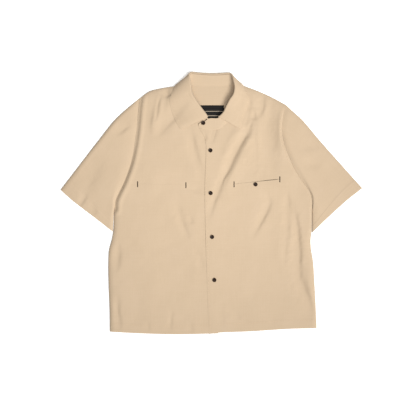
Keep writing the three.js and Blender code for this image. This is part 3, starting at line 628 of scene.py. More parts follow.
# %% [markdown]
# ## Cloth as thin shells
#
# A cloth is a grid of middle points with a thickness, so its two faces are the grid moved out along its
# normals and its rim is thinned to a rounded edge. A solidify modifier would do the same, but with a square
# rim, and the hems could not be thicker than the rest. A tube, for a sleeve, is the same grid closed on
# itself.

# %% Shell builder
def grid_normals(grid, tube=False):
    """Unit normals of a grid of points. The columns of a tube close on themselves."""
    if tube:
        across = np.roll(grid, -1, axis=1) - np.roll(grid, 1, axis=1)
    else:
        across = np.gradient(grid, axis=1)
    normals = np.cross(across, np.gradient(grid, axis=0))
    return normals / np.maximum(np.linalg.norm(normals, axis=2, keepdims=True), 1e-9)


def rim_fullness(count):
    full = np.ones(count)
    n = len(RIM_FULLNESS)
    full[:n] = RIM_FULLNESS
    full[-n:] = np.minimum(full[-n:], RIM_FULLNESS[::-1])
    return full


def new_piece(name, vertices, faces, material, uvs=None, smooth=True):
    """A mesh object in metres from places in millimetres, its faces turned outwards."""
    mesh = bpy.data.meshes.new(name)
    faces = faces.tolist() if isinstance(faces, np.ndarray) else faces
    mesh.from_pydata(((vertices + SHIFT) * MM).tolist(), [], faces)
    if uvs is not None:
        layer = mesh.uv_layers.new(name="cloth")
        corners = np.empty(len(mesh.loops), int)
        mesh.loops.foreach_get("vertex_index", corners)
        layer.data.foreach_set("uv", (uvs[corners] * MM).ravel())
    mesh.materials.append(material)
    mesh.validate()
    solid = bmesh.new()
    solid.from_mesh(mesh)
    bmesh.ops.recalc_face_normals(solid, faces=solid.faces)
    solid.to_mesh(mesh)
    solid.free()
    if smooth:
        mesh.shade_smooth()
    piece = bpy.data.objects.new(name, mesh)
    bpy.context.scene.collection.objects.link(piece)
    return piece


def shell_faces(rows, columns, tube=False):
    """Faces of a closed shell: the upper grid, then the lower grid, joined round their rims."""
    j, i = np.meshgrid(np.arange(rows - 1), np.arange(columns if tube else columns - 1), indexing="ij")
    j, i = j.ravel(), i.ravel()
    n = (i + 1) % columns
    low_row, high_row = j * columns, (j + 1) * columns
    upper = np.stack([low_row + i, low_row + n, high_row + n, high_row + i], axis=1)
    count = rows * columns

    def rim(a, b):
        return np.stack([a, b, count + b, count + a], axis=1)

    k = np.arange(columns if tube else columns - 1)
    rims = [rim(row * columns + k, row * columns + (k + 1) % columns) for row in (0, rows - 1)]
    if not tube:
        k = np.arange(rows - 1)
        rims += [rim(k * columns + column, (k + 1) * columns + column) for column in (0, columns - 1)]
    return np.vstack([upper, upper[:, ::-1] + count] + rims)


def shell(name, grid, wall, material, uvs, tube=False):
    """A closed shell about a grid of middle points. The wall is a number or a grid of numbers."""
    rows, columns = grid.shape[:2]
    half = np.broadcast_to(np.asarray(wall, float) / 2, (rows, columns)) * rim_fullness(rows)[:, None]
    if not tube:
        half = half * rim_fullness(columns)[None]
    out = grid_normals(grid, tube) * half[..., None]
    vertices = np.vstack([(grid + out).reshape(-1, 3), (grid - out).reshape(-1, 3)])
    flat = np.vstack([uvs.reshape(-1, 2)] * 2)
    piece = new_piece(name, vertices, shell_faces(rows, columns, tube), material, flat)
    print(name, len(piece.data.polygons), "faces")
    return piece


def area_of(place):
    """The area in square metres of a grid of places in millimetres."""
    a, b = np.diff(place, axis=1)[:-1], np.diff(place, axis=0)[:, :-1]
    return float(np.abs(a[..., 0] * b[..., 1] - a[..., 1] * b[..., 0]).sum()) * MM * MM


# %% [markdown]
# ## Back and fronts
#
# The back is one panel. The left front laps over the right one, edge over edge, and the lap holds both
# fronts level. Hems are cloth turned twice, so the wall is thicker up to the stitching, which leaves a fine
# step along it. A panel could also be a flat cut that is draped, but its edges would then creep off the
# outline. Here each panel fills its four edges first, and the folds only lift and lower it.

# %% Back panel and fronts
FINE, COARSE = 2.5, 4.0  # mm between grid lines
NECK_TUCK = 3.0
NECK_MIDDLE, ABOVE_NECK = (2.0, 275.0), (2.0, 900.0)
HEM_WIDTH = {"back": 590, "front": 305}


def outer_edge(side):
    return joined(smooth_line(SIDE[side]), smooth_line(ARMHOLE[side]))


SIDE_LENGTH = {side: line_length(outer_edge(side)) for side in SIDE}


def with_height(place, height):
    return np.dstack([place, height])


def tucked(line, towards):
    """A neck edge moved a little under the collar stand, but for its ends, so no groove shows at the seam."""
    away = np.array(towards) - line
    away /= np.linalg.norm(away, axis=1)[:, None]
    walked = walked_along(line)
    return line + away * (NECK_TUCK * ease(np.minimum(walked, walked[-1] - walked) / 12))[:, None]


back_neck = tucked(smooth_line(NECK["back"]), ABOVE_NECK)
back_top = joined(smooth_line(SHOULDER["right"]), back_neck, smooth_line(SHOULDER["left"])[::-1])
back_place = patch(smooth_line(HEM["back"]), back_top, outer_edge("right"), outer_edge("left"),
                   shares(HEM_WIDTH["back"], COARSE), shares(SIDE_LENGTH["left"], COARSE, [HEM_DEPTH]))
from_back_hem = distance_to(back_place[..., 0], back_place[..., 1], smooth_line(HEM["back"], 6.0))
back_wall = CLOTH + HEM_WALL * 0.5 * (from_back_hem < HEM_DEPTH)
back = shell("back_cloth", with_height(back_place, back_level(back_place[..., 0], back_place[..., 1])),
             back_wall, shirting, back_place)

fronts, front_places = {}, {}
for side in ("right", "left"):
    neck = tucked(smooth_line(NECK[side]), NECK_MIDDLE)
    place = patch(smooth_line(HEM[side]), joined(neck, smooth_line(SHOULDER[side])[::-1]),
                  smooth_line(FRONT_EDGE[side]), outer_edge(side), shares(HEM_WIDTH["front"], FINE),
                  shares(SIDE_LENGTH[side], FINE, [HEM_DEPTH]), 3.0)
    x, y = place[..., 0], place[..., 1]
    from_hem = distance_to(x, y, smooth_line(HEM[side], 6.0))
    wall = CLOTH + HEM_WALL * (from_hem < HEM_DEPTH)
    if side == "left":
        from_lap = distance_to(x, y, smooth_line(FRONT_EDGE[side], 6.0))
        low = 1 - ease((y - LAP["low_to"]) / LAP["low_ease"])
        wall = wall + (LAP_EDGE_WALL - wall) * low * (1 - ease(from_lap / 12))
    fronts[side] = shell(f"front_cloth_{side}", with_height(place, front_level(side, x, y)), wall,
                         shirting, place)
    front_places[side] = place

# %% [markdown]
# ## Sleeves
#
# Each sleeve is a tube of cloth pressed flat, with its seam under the arm and a soft fold along its top
# edge. Its upper layer is tucked a little under the front at the armhole, as the seam allowance carries the
# front over it. Two flat sheets would be simpler, but the light would show the gap between them along the
# folds, so one grid runs round the arm: over the top, and back under it.

# %% Sleeve tubes
SLEEVE_ROLL = 14.0
UNDERARM_ROLL = {"right": 14.0, "left": 30.0}
LOWER_ROLL = 1.6
SLEEVE_FOLD_LEVEL = 1.25  # the middle of the cloth where the tube turns over
SLEEVE_LEVEL = {"right": (5.4, 6.6, 5.4), "left": (7.3, 7.2, 5.6)}  # by the armhole, half-way, at the cuff
SLEEVE_DIP = {"right": (3.6, 13.0, 1.5), "left": (5.7, 10.5, 3.0)}  # depth, width, how sudden it is
SHALLOW_ABOVE = {"right": (900.0, 1.0), "left": (195.0, 0.4)}  # a height, and the dip's share above it
SLEEVE_WIDTH = 290.0  # across its upper layer, a little below the armhole
SLEEVE_LENGTH = 215.0
TUCK, TUCK_REACH = 6.0, 0.16  # how far the upper layer goes under the front, over what share of the length
CUFF_DEPTH = 22.0
SLEEVE_CLEARANCE = 0.4
CROWDING = 3  # how far the points of the underarm fold are drawn to the armhole, so that no row turns over


def sleeve_level(side, x, y, share):
    armhole, middle, cuff = SLEEVE_LEVEL[side]
    dip, width, suddenness = SLEEVE_DIP[side]
    limit, above = SHALLOW_ABOVE[side]
    dip = dip * (1 - (1 - above) * ease((y - limit + 20) / 40))
    from_armhole = distance_to(x, y, smooth_line(ARMHOLE[side], 8.0))
    ends = armhole + (cuff - armhole) * share - dip * np.exp(-(from_armhole / width) ** suddenness)
    folds = limited(fold_height(x, y, SLEEVE_FOLDS) + unevenness(x, y))
    return ends + (middle - ends) * np.sin(np.pi * share) + 0.8 * folds


def sleeve_places(side, across, along):
    away = np.array([(-1 if side == "right" else 1) * SLEEVE_CLEARANCE, 0.0])
    seam = smooth_line(ARMHOLE[side])[::-1] + away
    top = smooth_line(SLEEVE_TOP[side])
    top = top + away * (1 - np.linspace(0, 1, len(top)))[:, None]
    hem = smooth_line(SLEEVE_HEM[side])

    def underarm(t):
        t = t[:, None] ** CROWDING
        return (np.array(UNDERARM_FOLD[side][0]) + away) * (1 - t) + hem[-1] * t

    fold = underarm(np.linspace(0, 1, 60))
    blended = patch(seam, hem, top, fold, across, along)
    return blended + (underarm(along) - at_shares(fold, along))[:, None] * across[None, :, None]


def make_sleeve(side):
    across, along = shares(SLEEVE_WIDTH, 3.0), shares(SLEEVE_LENGTH, 2.6, [SLEEVE_LENGTH - CUFF_DEPTH])
    place = sleeve_places(side, across, along)
    width = np.linalg.norm(place[:, -1] - place[:, 0], axis=1)[:, None]
    from_fold = np.minimum(across, 1 - across)[None] * width
    roll = np.where(across > 0.5, UNDERARM_ROLL[side], SLEEVE_ROLL)
    inwards = np.array([1.0 if side == "right" else -1.0, 0.0])
    tuck = TUCK * np.sin(np.pi * across)[None, :] ** 0.5 * (1 - ease(along / TUCK_REACH))[:, None]
    upper_place = place + tuck[..., None] * inwards
    level = sleeve_level(side, place[..., 0], place[..., 1], along[:, None] * np.ones(len(across)))
    rise, drop = level - SLEEVE_FOLD_LEVEL, CLOTH / 2 - SLEEVE_FOLD_LEVEL
    upper = with_height(upper_place, SLEEVE_FOLD_LEVEL + rise * quarter_round(from_fold / roll))
    lower = with_height(place, SLEEVE_FOLD_LEVEL + drop * quarter_round(from_fold / LOWER_ROLL))
    grid = np.concatenate([upper, lower[:, -2:0:-1]], axis=1)
    walked = np.concatenate([across, 2 - across[-2:0:-1]]) * SLEEVE_WIDTH
    uvs = np.dstack(np.broadcast_arrays(walked[None, :], along[:, None] * SLEEVE_LENGTH))
    cuff = (along * SLEEVE_LENGTH > SLEEVE_LENGTH - CUFF_DEPTH)[:, None]
    thinner_at_folds = 0.55 + 0.45 * np.minimum(1, np.hstack([from_fold, from_fold[:, -2:0:-1]]) / 3)
    wall = (CLOTH + HEM_WALL * cuff) * thinner_at_folds
    return shell(f"sleeve_cloth_{side}", grid, wall, shirting, uvs, tube=True), place


sleeves = {side: make_sleeve(side) for side in ("right", "left")}

# %% [markdown]
# ## Collar
#
# The collar is a stand, sewn to the neckline, and a leaf, which leaves the stand's top, turns over and
# falls on the fronts. At the back neck both lie squashed flat. It is lofted through measured sections, each
# with the place of its seam, its top and its edge. A curve with a bevel could not widen towards the collar
# points.

# %% Collar sections
COLLAR_SECTIONS = [  # what the section lies on, then top (with its height), seam and edge
    ("right", (13, 231, 6.3), (11, 207), None),
    ("right", (-2, 234, 6.6), (-13, 209), None),
    ("right", (-12, 240.5, 9.0), (-30, 219), (-86, 206)),
    ("right", (-20, 251, 11.5), (-42, 230.5), (-93, 214)),
    ("right", (-33, 268, 15), (-56, 246.5), (-104, 235)),
    ("right", (-46, 287, 18.5), (-72, 270.5), (-114, 262)),
    ("right", (-58, 307, 21), (-85, 300), (-119, 290)),
    ("right", (-62, 329, 21.5), (-88, 320.5), (-112.5, 311)),
    ("right", (-63, 347, 19), (-83, 332.8), (-107, 325)),
    ("fold", (-62, 360, 14.5), (-70, 332.4), (-101, 335)),
    ("back", (-57, 365, 11), (-57, 332), (-86, 329)),
    ("back", (-43, 364.5, 9.4), (-40, 331.5), (-62, 322)),
    ("back", (-22, 362.5, 8.6), (-20, 331), (-28, 320)),
    ("back", (2, 361.5, 8.4), (0, 330.8), (2, 319)),
    ("back", (24, 362, 8.6), (20, 331), (30, 320)),
    ("back", (40, 363, 9.4), (37, 331.5), (58, 322)),
    ("back", (52, 363, 11), (53, 332), (76, 329)),
    ("fold", (58, 357, 14.5), (66, 333.4), (87, 336)),
    ("left", (64, 345, 19), (79, 334.4), (94, 328)),
    ("left", (69, 327, 21.5), (91, 322.5), (103, 309)),
    ("left", (66, 307, 20.5), (92, 304), (109, 288)),
    ("left", (56, 291, 18.5), (83, 279.5), (101, 266)),
    ("left", (45, 270, 15), (65, 251.5), (93, 242)),
    ("left", (35, 252, 12.5), (43.2, 225.4), (87, 221)),
    ("left", (20, 239.5, 10.8), (21.6, 208), (84, 207)),
    ("left", (-3, 238.6, 9.6), (0, 205), None),
    ("left", (-15, 235.5, 9.2), (-17, 207), None),
    ("left", (-27, 229.4, 9.0), (-30, 210.6), None),
    ("left", (-37, 221.5, 8.8), (-35.5, 214.5), None),
]
LIFT = {"right": 3.2, "fold": 1.8, "back": 0.0, "left": 3.2}  # the fronts here lie higher than the frame's
PRESSED, PRESSED_FROM = 0.58, 7.0  # over this level the collar keeps this share of the frame's height
COLLAR_EDGE_WALL = 0.7  # at its sewn and turned edges
SEWN_IN = 0.35  # the stand's seam over the middle of the cloth that it is sewn to
OVER_LAYER = CLOTH / 2 + 0.1 + COLLAR_EDGE_WALL / 2
LEAF_RISE, LEAF_TURN, LEAF_CROWN = 2.6, 2.0, 1.6
COLLAR_SPACING = 3.0
STAND_HEIGHT, LEAF_DEPTH = 28, 60.0


def level_of(on, x, y):
    x, y = np.array([float(x)]), np.array([float(y)])
    if on in ("right", "left"):
        return float(front_level(on, x, y)[0])
    return float(back_level(x, y)[0]) - (CLOTH / 2 if on == "fold" else 0)


first_leaf = next(k for k, row in enumerate(COLLAR_SECTIONS) if row[3])
last_leaf = max(k for k, row in enumerate(COLLAR_SECTIONS) if row[3])
tops = [(t[0], t[1], PRESSED_FROM + (t[2] - PRESSED_FROM) * PRESSED + LIFT[on])
        for on, t, _, _ in COLLAR_SECTIONS]
seams = [(s[0], s[1], level_of(on, *s) + SEWN_IN) for on, _, s, _ in COLLAR_SECTIONS]
edges = []
for on, _, _, e in COLLAR_SECTIONS[first_leaf:last_leaf + 1]:
    height = COLLAR_WALL / 2 if on == "back" else level_of(on, *e) + (0 if on == "fold" else OVER_LAYER)
    edges.append((e[0], e[1], height))


def section_places(first, last, points):
    """Fractional places in the table from one row to another, evenly spaced along the line through them."""
    line = spline_at(points, np.linspace(first, last, 600))
    walked = walked_along(line)
    return np.interp(shares(walked[-1], COLLAR_SPACING) * walked[-1], walked, np.linspace(first, last, 600))


stand_at = section_places(0, len(tops) - 1, tops)
stand_seam, stand_top = spline_at(seams, stand_at), spline_at(tops, stand_at)
up = shares(STAND_HEIGHT, 2.5)
stand_grid = stand_seam[:, None] * (1 - up[None, :, None]) + stand_top[:, None] * up[None, :, None]
stand_uvs = np.dstack(np.broadcast_arrays(up[None] * STAND_HEIGHT, walked_along(stand_top)[:, None]))
stand_wall = COLLAR_EDGE_WALL + (COLLAR_WALL - COLLAR_EDGE_WALL) * ease(up * STAND_HEIGHT / 6)
stand = shell("collar_stand_cloth", stand_grid, stand_wall[None], shirting, stand_uvs)

leaf_at = section_places(first_leaf, last_leaf, tops)
leaf_seam, leaf_top = spline_at(seams, leaf_at), spline_at(tops, leaf_at)
leaf_edge = spline_at(edges, leaf_at - first_leaf)
rise = leaf_top - leaf_seam
rise /= np.linalg.norm(rise, axis=1)[:, None]
outwards = np.cross(rise, np.gradient(leaf_top, axis=0))
outwards /= np.linalg.norm(outwards, axis=1)[:, None]
if outwards[len(outwards) // 2, 2] > 0:
    outwards = -outwards
print("leaf turns outwards by", outwards[len(outwards) // 2].round(2), "at the back neck")
down_leaf = shares(LEAF_DEPTH, 2.4)


def leaf_section(k):
    """One section of the leaf, from the stand's top over the turn to its edge."""
    start = leaf_top[k] + rise[k] * 0.5
    centre = leaf_top[k] + rise[k] * LEAF_RISE + outwards[k] * LEAF_TURN
    angles = np.radians(np.arange(0, 150, 15))[:, None]
    turn = centre - outwards[k] * LEAF_TURN * np.cos(angles) + rise[k] * LEAF_TURN * np.sin(angles)
    t = np.linspace(0, 1, 30)[1:, None]
    fall = turn[-1] * (1 - t) + leaf_edge[k] * t
    over_front = float(ease((leaf_edge[k, 2] - 1.5) / 4))
    tucked = turn[-1, 2] + (leaf_edge[k, 2] - turn[-1, 2]) * (1 - (1 - t[:, 0]) ** 3.2)
    crowned = fall[:, 2] + LEAF_CROWN * np.sin(np.pi * t[:, 0])
    creased = fold_height(fall[:, 0], fall[:, 1], LEAF_FOLDS) * ease(t[:, 0] / 0.2)
    height = tucked + (crowned - tucked) * over_front + creased * over_front
    fall[:, 2] = np.maximum(COLLAR_WALL / 2, height)
    if over_front > 0.9:
        side = "right" if leaf_edge[k, 0] < 0 else "left"
        near_edge = ease((1 - t[:, 0]) * LEAF_DEPTH / 8)
        half_wall = (COLLAR_EDGE_WALL + (COLLAR_WALL - COLLAR_EDGE_WALL) * near_edge) / 2
        front = front_level(side, fall[:, 0], fall[:, 1])
        fall[:, 2] = np.maximum(fall[:, 2], front + CLOTH / 2 + 0.1 + half_wall)
    return at_shares(np.vstack([start, turn, fall]), down_leaf)


leaf_grid = np.array([leaf_section(k) for k in range(len(leaf_at))])
leaf_lengths = np.array([line_length(row) for row in leaf_grid])
along_leaf = walked_along(leaf_top)
leaf_uvs = np.dstack([down_leaf[None] * leaf_lengths[:, None],
                      np.broadcast_to(along_leaf[:, None], leaf_grid.shape[:2])])
from_edge = (1 - down_leaf)[None] * leaf_lengths[:, None]
from_end = np.minimum(along_leaf, along_leaf[-1] - along_leaf)[:, None]
leaf_wall = COLLAR_EDGE_WALL + (COLLAR_WALL - COLLAR_EDGE_WALL) * ease(np.minimum(from_edge, from_end) / 8)
leaf = shell("collar_leaf_cloth", leaf_grid, leaf_wall, shirting, leaf_uvs)

# %% [markdown]
# ## Pockets
#
# The chest pockets are slits, held at both ends by bar tacks, with a bag behind each. The left one gapes a
# little beyond its button, towards its outer end, and the right one lies shut. A thin lens-shaped cutter
# opens the cloth, which a painted line would not do: the bag can be seen through it.

# %% Slits and bags
POCKETS = {"right": {"from": (-209.8, 52), "to": (-72.4, 49.2)},
           "left": {"from": (64.4, 51.8), "to": (194.5, 66)}}
SLIT_GAP = {"right": [0.1, 0.08, 0.08, 0.1], "left": [0.3, 0.3, 0.4, 0.7, 1.5, 1.7, 1.2]}  # from end to end
POCKET_DEPTH, POCKET_ALLOWANCE = 140.0, 7.0
BAG_LEVEL = 1.6
SLIT_CUT = (2.6, 24.0)  # from over the bag to over the front
TACK_WIDTH = 3.2


def slit_cutter(side):
    a, b = (np.array(POCKETS[side][end]) for end in ("from", "to"))
    along = (b - a) / np.linalg.norm(b - a)
    across = np.array([-along[1], along[0]])
    a, b = a + along * TACK_WIDTH / 2, b - along * TACK_WIDTH / 2
    t = np.linspace(0, 1, 28)
    half = np.interp(t, np.linspace(0, 1, len(SLIT_GAP[side])), SLIT_GAP[side]) / 2
    half = np.maximum(half * quarter_round(np.minimum(t, 1 - t) * 12), 0.03)
    middle = a + (b - a) * t[:, None]
    loop = np.vstack([middle + across * half[:, None], (middle - across * half[:, None])[::-1]])
    count = len(loop)
    vertices = np.vstack([np.c_[loop, np.full(count, z)] for z in SLIT_CUT])
    k = np.arange(count)
    walls = [[i, (i + 1) % count, count + (i + 1) % count, count + i] for i in k]
    low_caps = [[i, i + 1, count - 2 - i, count - 1 - i] for i in range(count // 2 - 1)]
    high_caps = [[count + v for v in cap][::-1] for cap in low_caps]
    return new_piece("slit_cutter", vertices, walls + low_caps + high_caps, shirting, smooth=False)


def cut(piece, cutter):
    """Cuts one piece by another, which is then thrown away."""
    opening = piece.modifiers.new("opening", "BOOLEAN")
    opening.object = cutter
    opening.operation = "DIFFERENCE"
    opening.solver = "EXACT"
    made = bpy.data.meshes.new_from_object(piece.evaluated_get(bpy.context.evaluated_depsgraph_get()))
    made.set_sharp_from_angle(angle=math.radians(60))
    piece.modifiers.clear()
    piece.data = made
    bpy.data.objects.remove(cutter)


def level_rectangle(low, high, spacing):
    x = low[0] + shares(high[0] - low[0], spacing) * (high[0] - low[0])
    y = low[1] + shares(high[1] - low[1], spacing) * (high[1] - low[1])
    return np.dstack(np.meshgrid(x, y))


bags, bag_places = {}, {}
for side, ends in POCKETS.items():
    before = len(fronts[side].data.polygons)
    cut(fronts[side], slit_cutter(side))
    print("pocket", side, "adds", len(fronts[side].data.polygons) - before, "faces")
    top = max(ends["from"][1], ends["to"][1]) + POCKET_ALLOWANCE
    low = (ends["from"][0] - POCKET_ALLOWANCE, top - POCKET_DEPTH)
    place = level_rectangle(low, (ends["to"][0] + POCKET_ALLOWANCE, top), 5.0)
    height = BAG_LEVEL + 0.25 * soft_noise(place[..., 0], place[..., 1], 30, 11)
    bags[side] = shell(f"pocket_bag_cloth_{side}", with_height(place, height), CLOTH, shirting, place)
    bag_places[side] = place

# %% [markdown]
# ## Neck label
#
# A woven label lies inside the back neck, black with two plain pale lines and no words. It is a piece of its
# own, a little thicker than a print, because its edge and its satin sheen are what shows it to be woven.

# %% Label
LABEL = {"width": 68.0, "height": 44.0, "top": 276.0, "middle": 1.7, "wall": 0.6}
label_low = (LABEL["middle"] - LABEL["width"] / 2, LABEL["top"] - LABEL["height"])
label_place = level_rectangle(label_low, (LABEL["middle"] + LABEL["width"] / 2, LABEL["top"]), 1.5)
lx, ly = label_place[..., 0], label_place[..., 1]
label_height = (back_level(lx, ly) + CLOTH / 2 + 0.2 + LABEL["wall"] / 2
                + 0.15 * (1 + soft_noise(lx, ly, 16, 13)))
label = shell("neck_label_woven", with_height(label_place, label_height), LABEL["wall"], label_satin,
              label_place)

# %% [markdown]
# ## Buttons
#
# Flat four-hole horn buttons with a raised rim. A real one is turned on a lathe and drilled, and so is each
# one here: a profile goes round its axis, then four round drills are taken out of it, which gives holes that
# can be seen through. A cross of thread sews it on.

# %% Buttons
BUTTON_RADIUS = 5.75
# Each place of the profile is a share of the radius and a height in mm.
BUTTON_PROFILE = [(0, 0.1), (0.55, 0.0), (0.78, 0.1), (0.93, 0.5), (1.0, 1.1), (1.0, 1.5), (0.975, 2.0),
                  (0.92, 2.4), (0.84, 2.55), (0.76, 2.48), (0.69, 2.2), (0.6, 1.85), (0.5, 1.7), (0, 1.65)]
BUTTON_HOLE_RADIUS, BUTTON_HOLE_REACH = 0.8, 1.95
DRILL = (-2, 6)  # from under the button to over it
BUTTON_LIFT, NECK_BUTTON_LIFT = 0.3, 0.4
SEAT = 5  # half the width of the cloth that a button rests on
THREAD_RADIUS = 0.32
THREAD_LEVELS = (0.2, 1.5, 2.05, 0.55)  # its ends, a hole's edge, a crossing, and one over the other
FRONT_BUTTONS = [(-2.6, 147.2), (-2, 25.8), (2, -98.7), (8.5, -221)]
NECK_BUTTON = (-23.0, 225)
POCKET_BUTTON = (125.5, 50.6)
BUTTON_SPIN = [0.3, 0.9, 0.1, 0.6, 1.2, 0.4]


def turned(profile, steps):
    """A solid turned from a profile of (radius, height), both ends on the axis."""
    angles = np.linspace(0, 2 * np.pi, steps, endpoint=False)
    rings = np.vstack([np.c_[r * np.cos(angles), r * np.sin(angles), np.full(steps, h)]
                       for r, h in profile[1:-1]])
    vertices = np.vstack([rings, [[0, 0, profile[0][1]]], [[0, 0, profile[-1][1]]]])
    faces = []
    last = (len(profile) - 3) * steps
    for k in range(steps):
        n = (k + 1) % steps
        faces += [[j * steps + k, j * steps + n, (j + 1) * steps + n, (j + 1) * steps + k]
                  for j in range(len(profile) - 3)]
        faces += [[len(rings), n, k], [last + k, last + n, len(rings) + 1]]
    return vertices, faces


def tube(points, radius, sides=8):
    """A round thread through some points, with domed ends, as vertices and faces."""
    line = smooth_line(points, radius * 0.8)
    forward = np.gradient(line, axis=0)
    forward /= np.linalg.norm(forward, axis=1)[:, None]
    side = np.cross(forward, [0.13, 0.21, 0.97])
    side /= np.linalg.norm(side, axis=1)[:, None]
    third = np.cross(forward, side)
    angles = np.linspace(0, 2 * np.pi, sides, endpoint=False)
    full = np.ones(len(line))
    full[[0, -1]], full[[1, -2]] = 0.35, 0.85
    c, s = np.cos(angles)[None, :, None], np.sin(angles)[None, :, None]
    rings = line[:, None] + radius * full[:, None, None] * (c * side[:, None] + s * third[:, None])
    faces = []
    for j in range(len(line) - 1):
        low, high = j * sides, (j + 1) * sides
        faces += [[low + k, low + (k + 1) % sides, high + (k + 1) % sides, high + k] for k in range(sides)]
    faces += [list(range(sides))[::-1], [(len(line) - 1) * sides + k for k in range(sides)]]
    return rings.reshape(-1, 3), faces


def gathered(parts):
    """Several (vertices, faces) as one."""
    vertices, faces, count = [], [], 0
    for v, f in parts:
        vertices.append(v)
        faces += [[count + k for k in face] for face in f]
        count += len(v)
    return np.vstack(vertices), faces


def top_of_front(side, x, y):
    x, y = np.atleast_1d(x).astype(float), np.atleast_1d(y).astype(float)
    return front_level(side, x, y) + CLOTH / 2


def placed(vertices, place, spin):
    """Vertices turned about the vertical and moved to a place."""
    c, s = math.cos(spin), math.sin(spin)
    return vertices @ np.array([[c, s, 0], [-s, c, 0], [0, 0, 1]]) + np.array(place)


def hole_places():
    return [(BUTTON_HOLE_REACH * math.cos(a), BUTTON_HOLE_REACH * math.sin(a))
            for a in np.radians([45, 135, 225, 315])]


def make_button(name, place, spin):
    vertices, faces = turned([(r * BUTTON_RADIUS, h) for r, h in BUTTON_PROFILE], 56)
    piece = new_piece(name, placed(vertices, place, spin), faces, horn)
    for x, y in hole_places():
        low, high = DRILL
        v, f = turned([(0, low), (BUTTON_HOLE_RADIUS, low), (BUTTON_HOLE_RADIUS, high), (0, high)], 20)
        cut(piece, new_piece("drill", placed(v + [x, y, 0], place, spin), f, horn, smooth=False))
    crossings = []
    holes = hole_places()
    foot, edge, crossing, over_other = THREAD_LEVELS
    for a, b in ((0, 2), (1, 3)):
        for shift in (-THREAD_RADIUS, THREAD_RADIUS):
            across = np.array([-(holes[b][1] - holes[a][1]), holes[b][0] - holes[a][0]])
            across *= shift / np.linalg.norm(across)
            start, end = np.array(holes[a]) + across, np.array(holes[b]) + across
            over = crossing + (over_other if a else 0.0)
            path = [(*start, foot), (*start, edge), (*(start * 0.75 + end * 0.25), over),
                    (*(start * 0.25 + end * 0.75), over), (*end, edge), (*end, foot)]
            crossings.append(tube(path, THREAD_RADIUS))
    v, f = gathered(crossings)
    thread = new_piece(f"{name}_thread", placed(v, place, spin), f, tack_thread)
    return piece, thread


def highest_under(x, y):
    """The highest place of the left front under a button."""
    gx, gy = np.meshgrid(np.linspace(-SEAT, SEAT, 7), np.linspace(-SEAT, SEAT, 7))
    return float(top_of_front("left", (x + gx).ravel(), (y + gy).ravel()).max())


buttons = {}
names = [f"button_front_{k + 1}" for k in range(len(FRONT_BUTTONS))] + ["button_pocket"]
for name, (x, y), spin in zip(names, [*FRONT_BUTTONS, POCKET_BUTTON], BUTTON_SPIN):
    place = (x, y, highest_under(x, y) + BUTTON_LIFT)
    buttons[name] = make_button(f"horn_{name}", place, spin)
near = np.linalg.norm(stand_grid[..., :2] - np.array(NECK_BUTTON), axis=2) < BUTTON_RADIUS
neck_height = float(stand_grid[..., 2][near].max()) + COLLAR_WALL / 2 + NECK_BUTTON_LIFT
buttons["button_neck"] = make_button("horn_button_neck", (*NECK_BUTTON, neck_height), BUTTON_SPIN[5])
print("buttons:", list(buttons), "neck button at", round(neck_height, 1), "mm")

# %% [markdown]
# ## Stitching and bar tacks
#
# Sewing repeats one small thing many times, which is what Geometry Nodes do well: a short rounded stitch is
# set along each seam line at a fixed pitch. A bar tack is the same with the thread laid across the line,
# wrap by wrap. Each result is kept as plain mesh, so nothing is left to be worked out later.

# %% Stitch tree
def stitch_tree():
    """A node group that lays threads along, or across, the edges of a mesh."""
    group = bpy.data.node_groups.new("laid_stitches", "GeometryNodeTree")
    group.interface.new_socket("Line", in_out="INPUT", socket_type="NodeSocketGeometry")
    for name in ("Pitch", "Length", "Thickness", "Turn"):
        group.interface.new_socket(name, in_out="INPUT", socket_type="NodeSocketFloat")
    group.interface.new_socket("Thread", in_out="INPUT", socket_type="NodeSocketMaterial")
    group.interface.new_socket("Stitches", in_out="OUTPUT", socket_type="NodeSocketGeometry")
    given = add(group, "NodeGroupInput")
    curve = add(group, "GeometryNodeMeshToCurve", {"Mesh": given.outputs["Line"]})
    points = add(group, "GeometryNodeCurveToPoints",
                 {"Curve": curve.outputs["Curve"], "Length": given.outputs["Pitch"]}, mode="LENGTH")
    bead = add(group, "GeometryNodeMeshUVSphere", values={"Segments": 8, "Rings": 5, "Radius": 0.5})
    stretch = add(group, "ShaderNodeCombineXYZ",
                  {"X": given.outputs["Length"], "Y": given.outputs["Thickness"],
                   "Z": given.outputs["Thickness"]})
    turn = add(group, "ShaderNodeCombineXYZ", {"Z": given.outputs["Turn"]})
    along = add(group, "FunctionNodeAlignRotationToVector", {"Vector": points.outputs["Tangent"]},
                axis="X", pivot_axis="Z")
    local = add(group, "FunctionNodeRotateRotation",
                {"Rotation": along.outputs["Rotation"], "Rotate By": turn.outputs["Vector"]},
                rotation_space="LOCAL")
    placed_beads = add(group, "GeometryNodeInstanceOnPoints", {
        "Points": points.outputs["Points"], "Instance": bead.outputs["Mesh"],
        "Rotation": local.outputs["Rotation"], "Scale": stretch.outputs["Vector"]})
    real = add(group, "GeometryNodeRealizeInstances", {"Geometry": placed_beads.outputs["Instances"]})
    smooth = add(group, "GeometryNodeSetShadeSmooth", {"Geometry": real.outputs["Geometry"]})
    finish = add(group, "GeometryNodeSetMaterial",
                 {"Geometry": smooth.outputs["Geometry"], "Material": given.outputs["Thread"]})
    add(group, "NodeGroupOutput", {"Stitches": finish.outputs["Geometry"]})
    return group


laid_stitches = stitch_tree()


